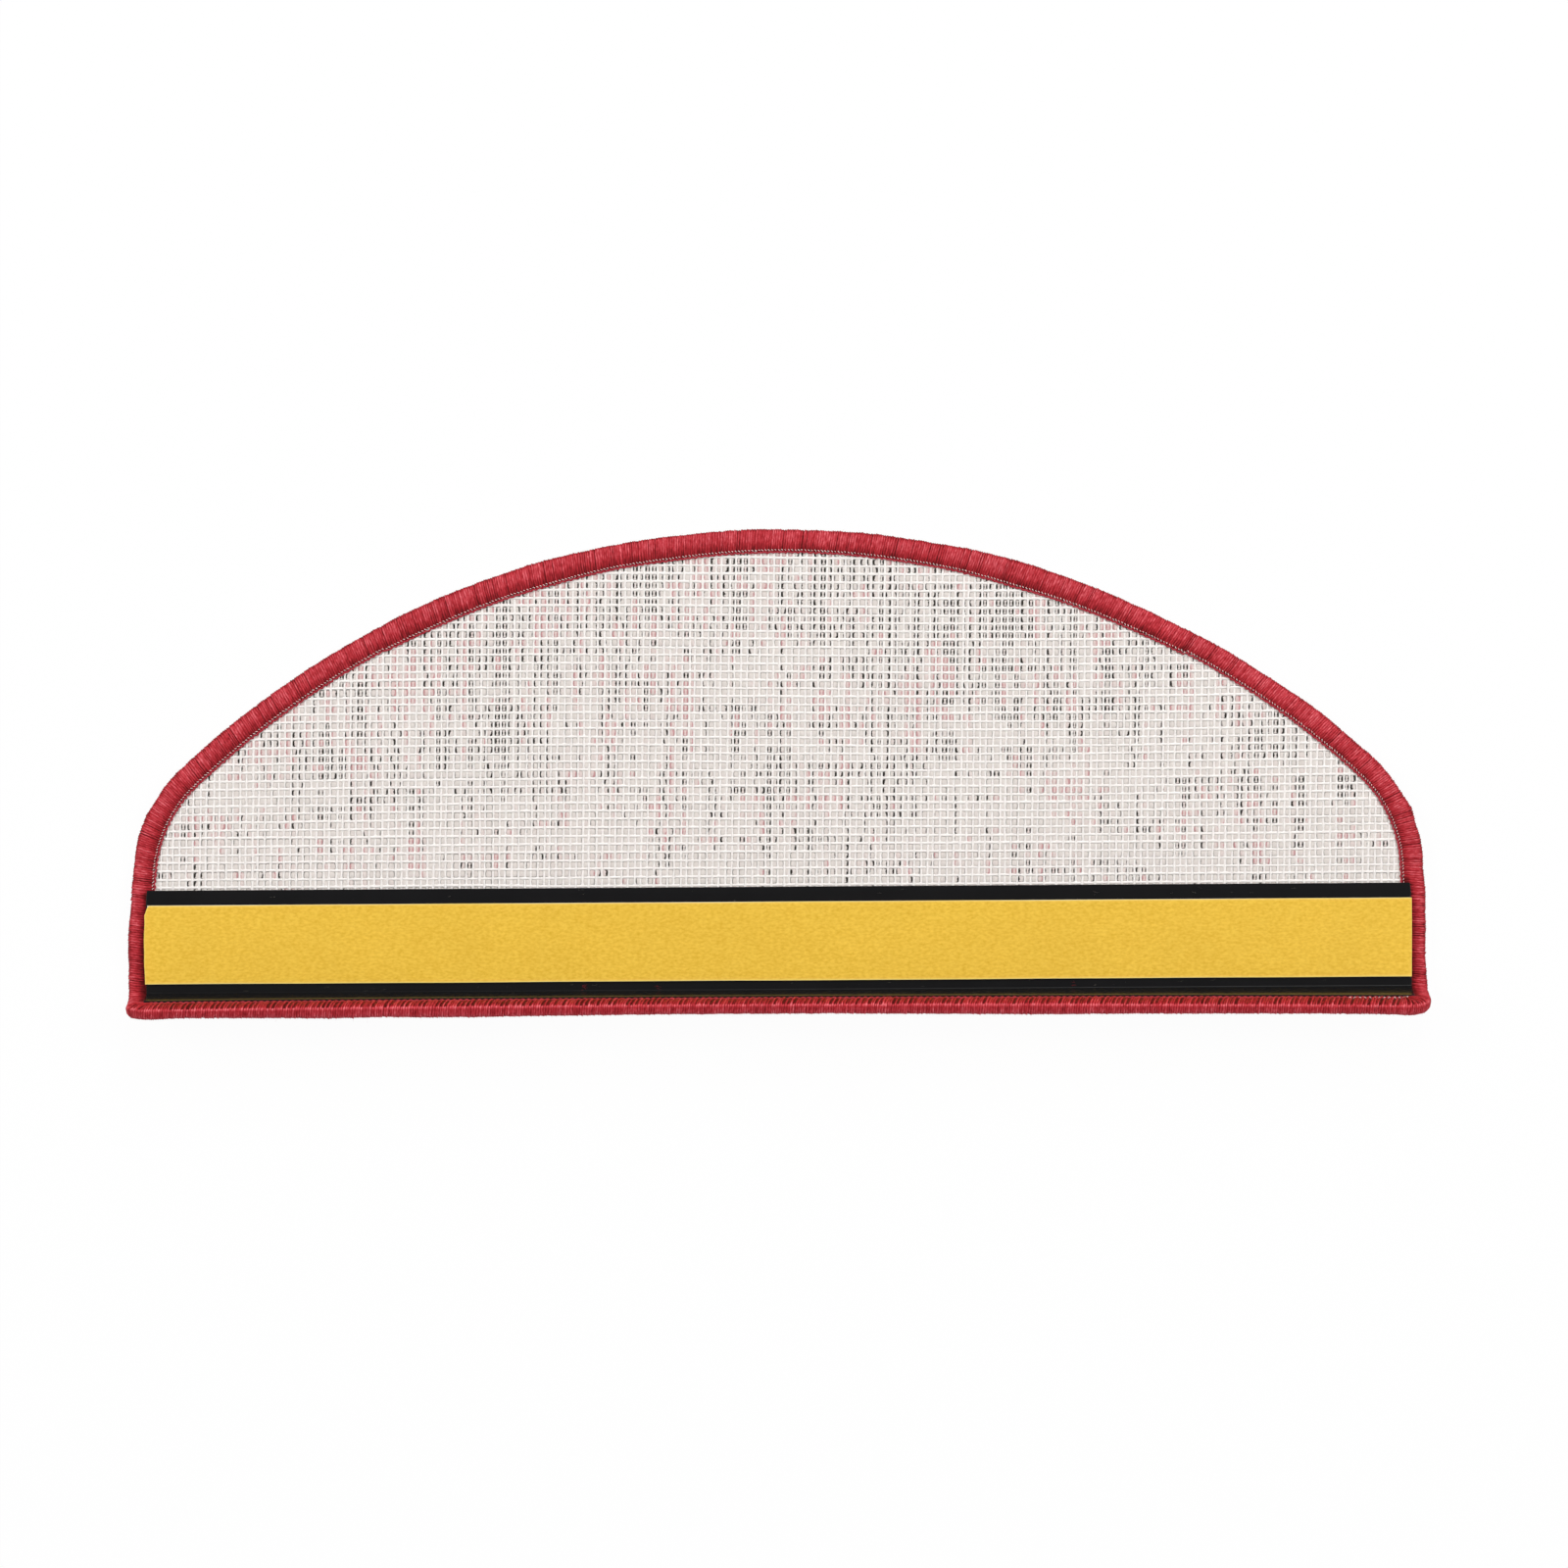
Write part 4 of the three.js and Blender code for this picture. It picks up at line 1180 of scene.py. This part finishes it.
length = fuzz_rng.uniform(0.0005, 0.0016, FUZZ)
root = root - 0.00005 * off
fuzz = curls("yarn_fuzz", root, direction, sideways, length, 0.00003, 32, slot="edge_yarn", material=looper)

# %% Lint on the plastic
m = Finish("pale_lint")
dirt, blotches = m.mottled(colour(196, 188, 172), 0.8, 400.0)
lint_finish = m.done(dirt, 0.8, blotches, 0.0)
lint_rng = np.random.default_rng(41)
lint_u = lint_rng.uniform(-300, 300, LINT)
on_top = lint_rng.uniform(size=LINT) < 0.5
lint_v = np.where(on_top, lint_rng.uniform(45.5, 50.0, LINT), lint_rng.uniform(0.3, 3.0, LINT))
root = fold(lint_u, lint_v, PROFILE_TOP + 0.05)
heading = lint_rng.uniform(0, 2 * np.pi, LINT)
level = 0 * heading
direction = np.stack([np.cos(heading), 0.25 * np.sin(heading), 0.04 + level], axis=-1)
sideways = unit(np.stack([-0.25 * np.sin(heading), np.cos(heading), level], axis=-1)) * 0.3
length = lint_rng.uniform(0.001, 0.004, LINT)
curls("pale_lint", root, direction, sideways, length, 0.00004, 42, slot="seam_thread", material=lint_finish)

# A tuft of red fluff caught at the foot of the lip, left of the middle, and two smaller ones.
home = np.array([-97.0, -60.0, 148.0])[lint_rng.choice(3, FLUFF, p=[0.5, 0.25, 0.25])]
root = fold(home + lint_rng.normal(0, 0.7, FLUFF), lint_rng.uniform(0.2, 2.4, FLUFF), PROFILE_TOP + 0.06)
heading = lint_rng.uniform(0, 2 * np.pi, FLUFF)
upward = lint_rng.uniform(0.05, 0.5, FLUFF)
direction = unit(np.stack([np.cos(heading), 0.4 * np.sin(heading), upward], axis=-1))
sideways = unit(np.cross(direction, lint_rng.normal(size=(FLUFF, 3)))) * [1.0, 1.0, 0.2]
length = lint_rng.uniform(0.0006, 0.0016, FLUFF)
curls("red_fluff", root, direction, sideways, length, 0.00006, 43, slot="edge_yarn", material=looper)

# %% [markdown]
# ## Cloth, camera and light
#
# The carpet is a sheet with its wrap, net and pile on it. The photograph was taken straight from above with
# a long lens, turned by less than half a degree. The floor is pale, and for the camera it glows a little, so
# that it comes out nearly white and still keeps the mat's soft shadow. The world is grey at the horizon and
# dark overhead: the camera is overhead, and that is what the glossy black plastic mirrors.

# %% The pieces that lie on the carpet
riders = [edge_yarn, needle_thread, looper_thread, tuft_backs, lip_pile, tread_pile]
riders += [net_warps, net_wefts, net_under, fuzz]


# %% Camera
def place_in_scene(name, data, location, turn=(0.0, 0.0, 0.0)):
    """An object of the scene, not of the part."""
    item = bpy.data.objects.new(name, data)
    item.location, item.rotation_euler = location, turn
    bpy.context.scene.collection.objects.link(item)
    return item


CAMERA_HEIGHT, FRAME_WIDTH, SENSOR = 4.5, 0.7847, 36.0
lens = bpy.data.cameras.new("overhead_camera")
lens.sensor_width = SENSOR
lens.lens = SENSOR * (CAMERA_HEIGHT - 0.005) / FRAME_WIDTH
lens.clip_end = 50.0
overhead = (0.0037, FOLD_LINE * MM + 0.1023, CAMERA_HEIGHT)
bpy.context.scene.camera = place_in_scene("overhead_camera", lens, overhead, (0.0, 0.0, -0.0065))

# %% Floor
FLOOR_REACH = 30.0
floor_corners = [(x * FLOOR_REACH, y * FLOOR_REACH, 0) for x, y in ((-1, -1), (1, -1), (1, 1), (-1, 1))]
floor_mesh = bpy.data.meshes.new("floor")
floor_mesh.from_pydata(floor_corners, [], [(0, 1, 2, 3)])
floor = place_in_scene("floor", floor_mesh, (0.0, 0.0, -0.0002))
m = Finish("pale_floor")
m.tree.nodes.clear()
path = m.add("ShaderNodeLightPath").outputs
matte = m.add("ShaderNodeBsdfDiffuse", {"Color": (0.9, 0.9, 0.9, 1.0)}).outputs[0]
glow = m.add("ShaderNodeEmission", {"Color": WHITE, "Strength": 1.0}).outputs[0]
seen = m.times(m.math("MAXIMUM", path["Is Camera Ray"], path["Is Glossy Ray"]), 0.965)
blend = m.add("ShaderNodeMixShader", {0: seen, 1: matte, 2: glow}).outputs[0]
m.add("ShaderNodeOutputMaterial", {"Surface": blend})
floor_mesh.materials.append(m.material)

# %% World
world = bpy.data.worlds.new("studio")
bpy.context.scene.world = world
world.use_nodes = True
sky = Nodes(world.node_tree)
sky.tree.nodes.clear()
way = sky.add("ShaderNodeTexCoord").outputs["Generated"]


def graded(axis, from_min, from_max, to_min, to_max):
    """A brightness that changes between two values of one coordinate of the direction looked in."""
    along = sky.add("ShaderNodeSeparateXYZ", {0: way}).outputs[axis]
    limits = {"From Min": from_min, "From Max": from_max, "To Min": to_min, "To Max": to_max}
    return sky.add("ShaderNodeMapRange", {"Value": along, **limits}).outputs[0]


lit = sky.times(graded("Z", 0.55, 0.92, 0.55, 0.03), graded("Y", -1.0, 1.0, 0.55, 0.5))
strength = sky.math("MAXIMUM", lit, sky.add("ShaderNodeLightPath").outputs["Is Camera Ray"])
background = sky.add("ShaderNodeBackground", {"Color": WHITE, "Strength": strength}).outputs[0]
sky.add("ShaderNodeOutputWorld", {"Surface": background})

# %% Lamps
for name, spot, watts, span in (
    ("key_left", (-2.0, 0.5, 1.9), 39.0, 1.2),
    ("key_right", (1.9, 0.4, 2.0), 39.0, 1.2),
    ("back", (0.2, 2.1, 2.0), 28.0, 1.3),
):
    lamp = bpy.data.lights.new(name, "AREA")
    lamp.shape, lamp.size, lamp.energy = "SQUARE", span, watts
    holder = place_in_scene(name, lamp, spot, (-Vector(spot)).to_track_quat("-Z", "Y").to_euler())
    holder.visible_glossy = name != "back"

bpy.context.scene.view_settings.view_transform = "Standard"
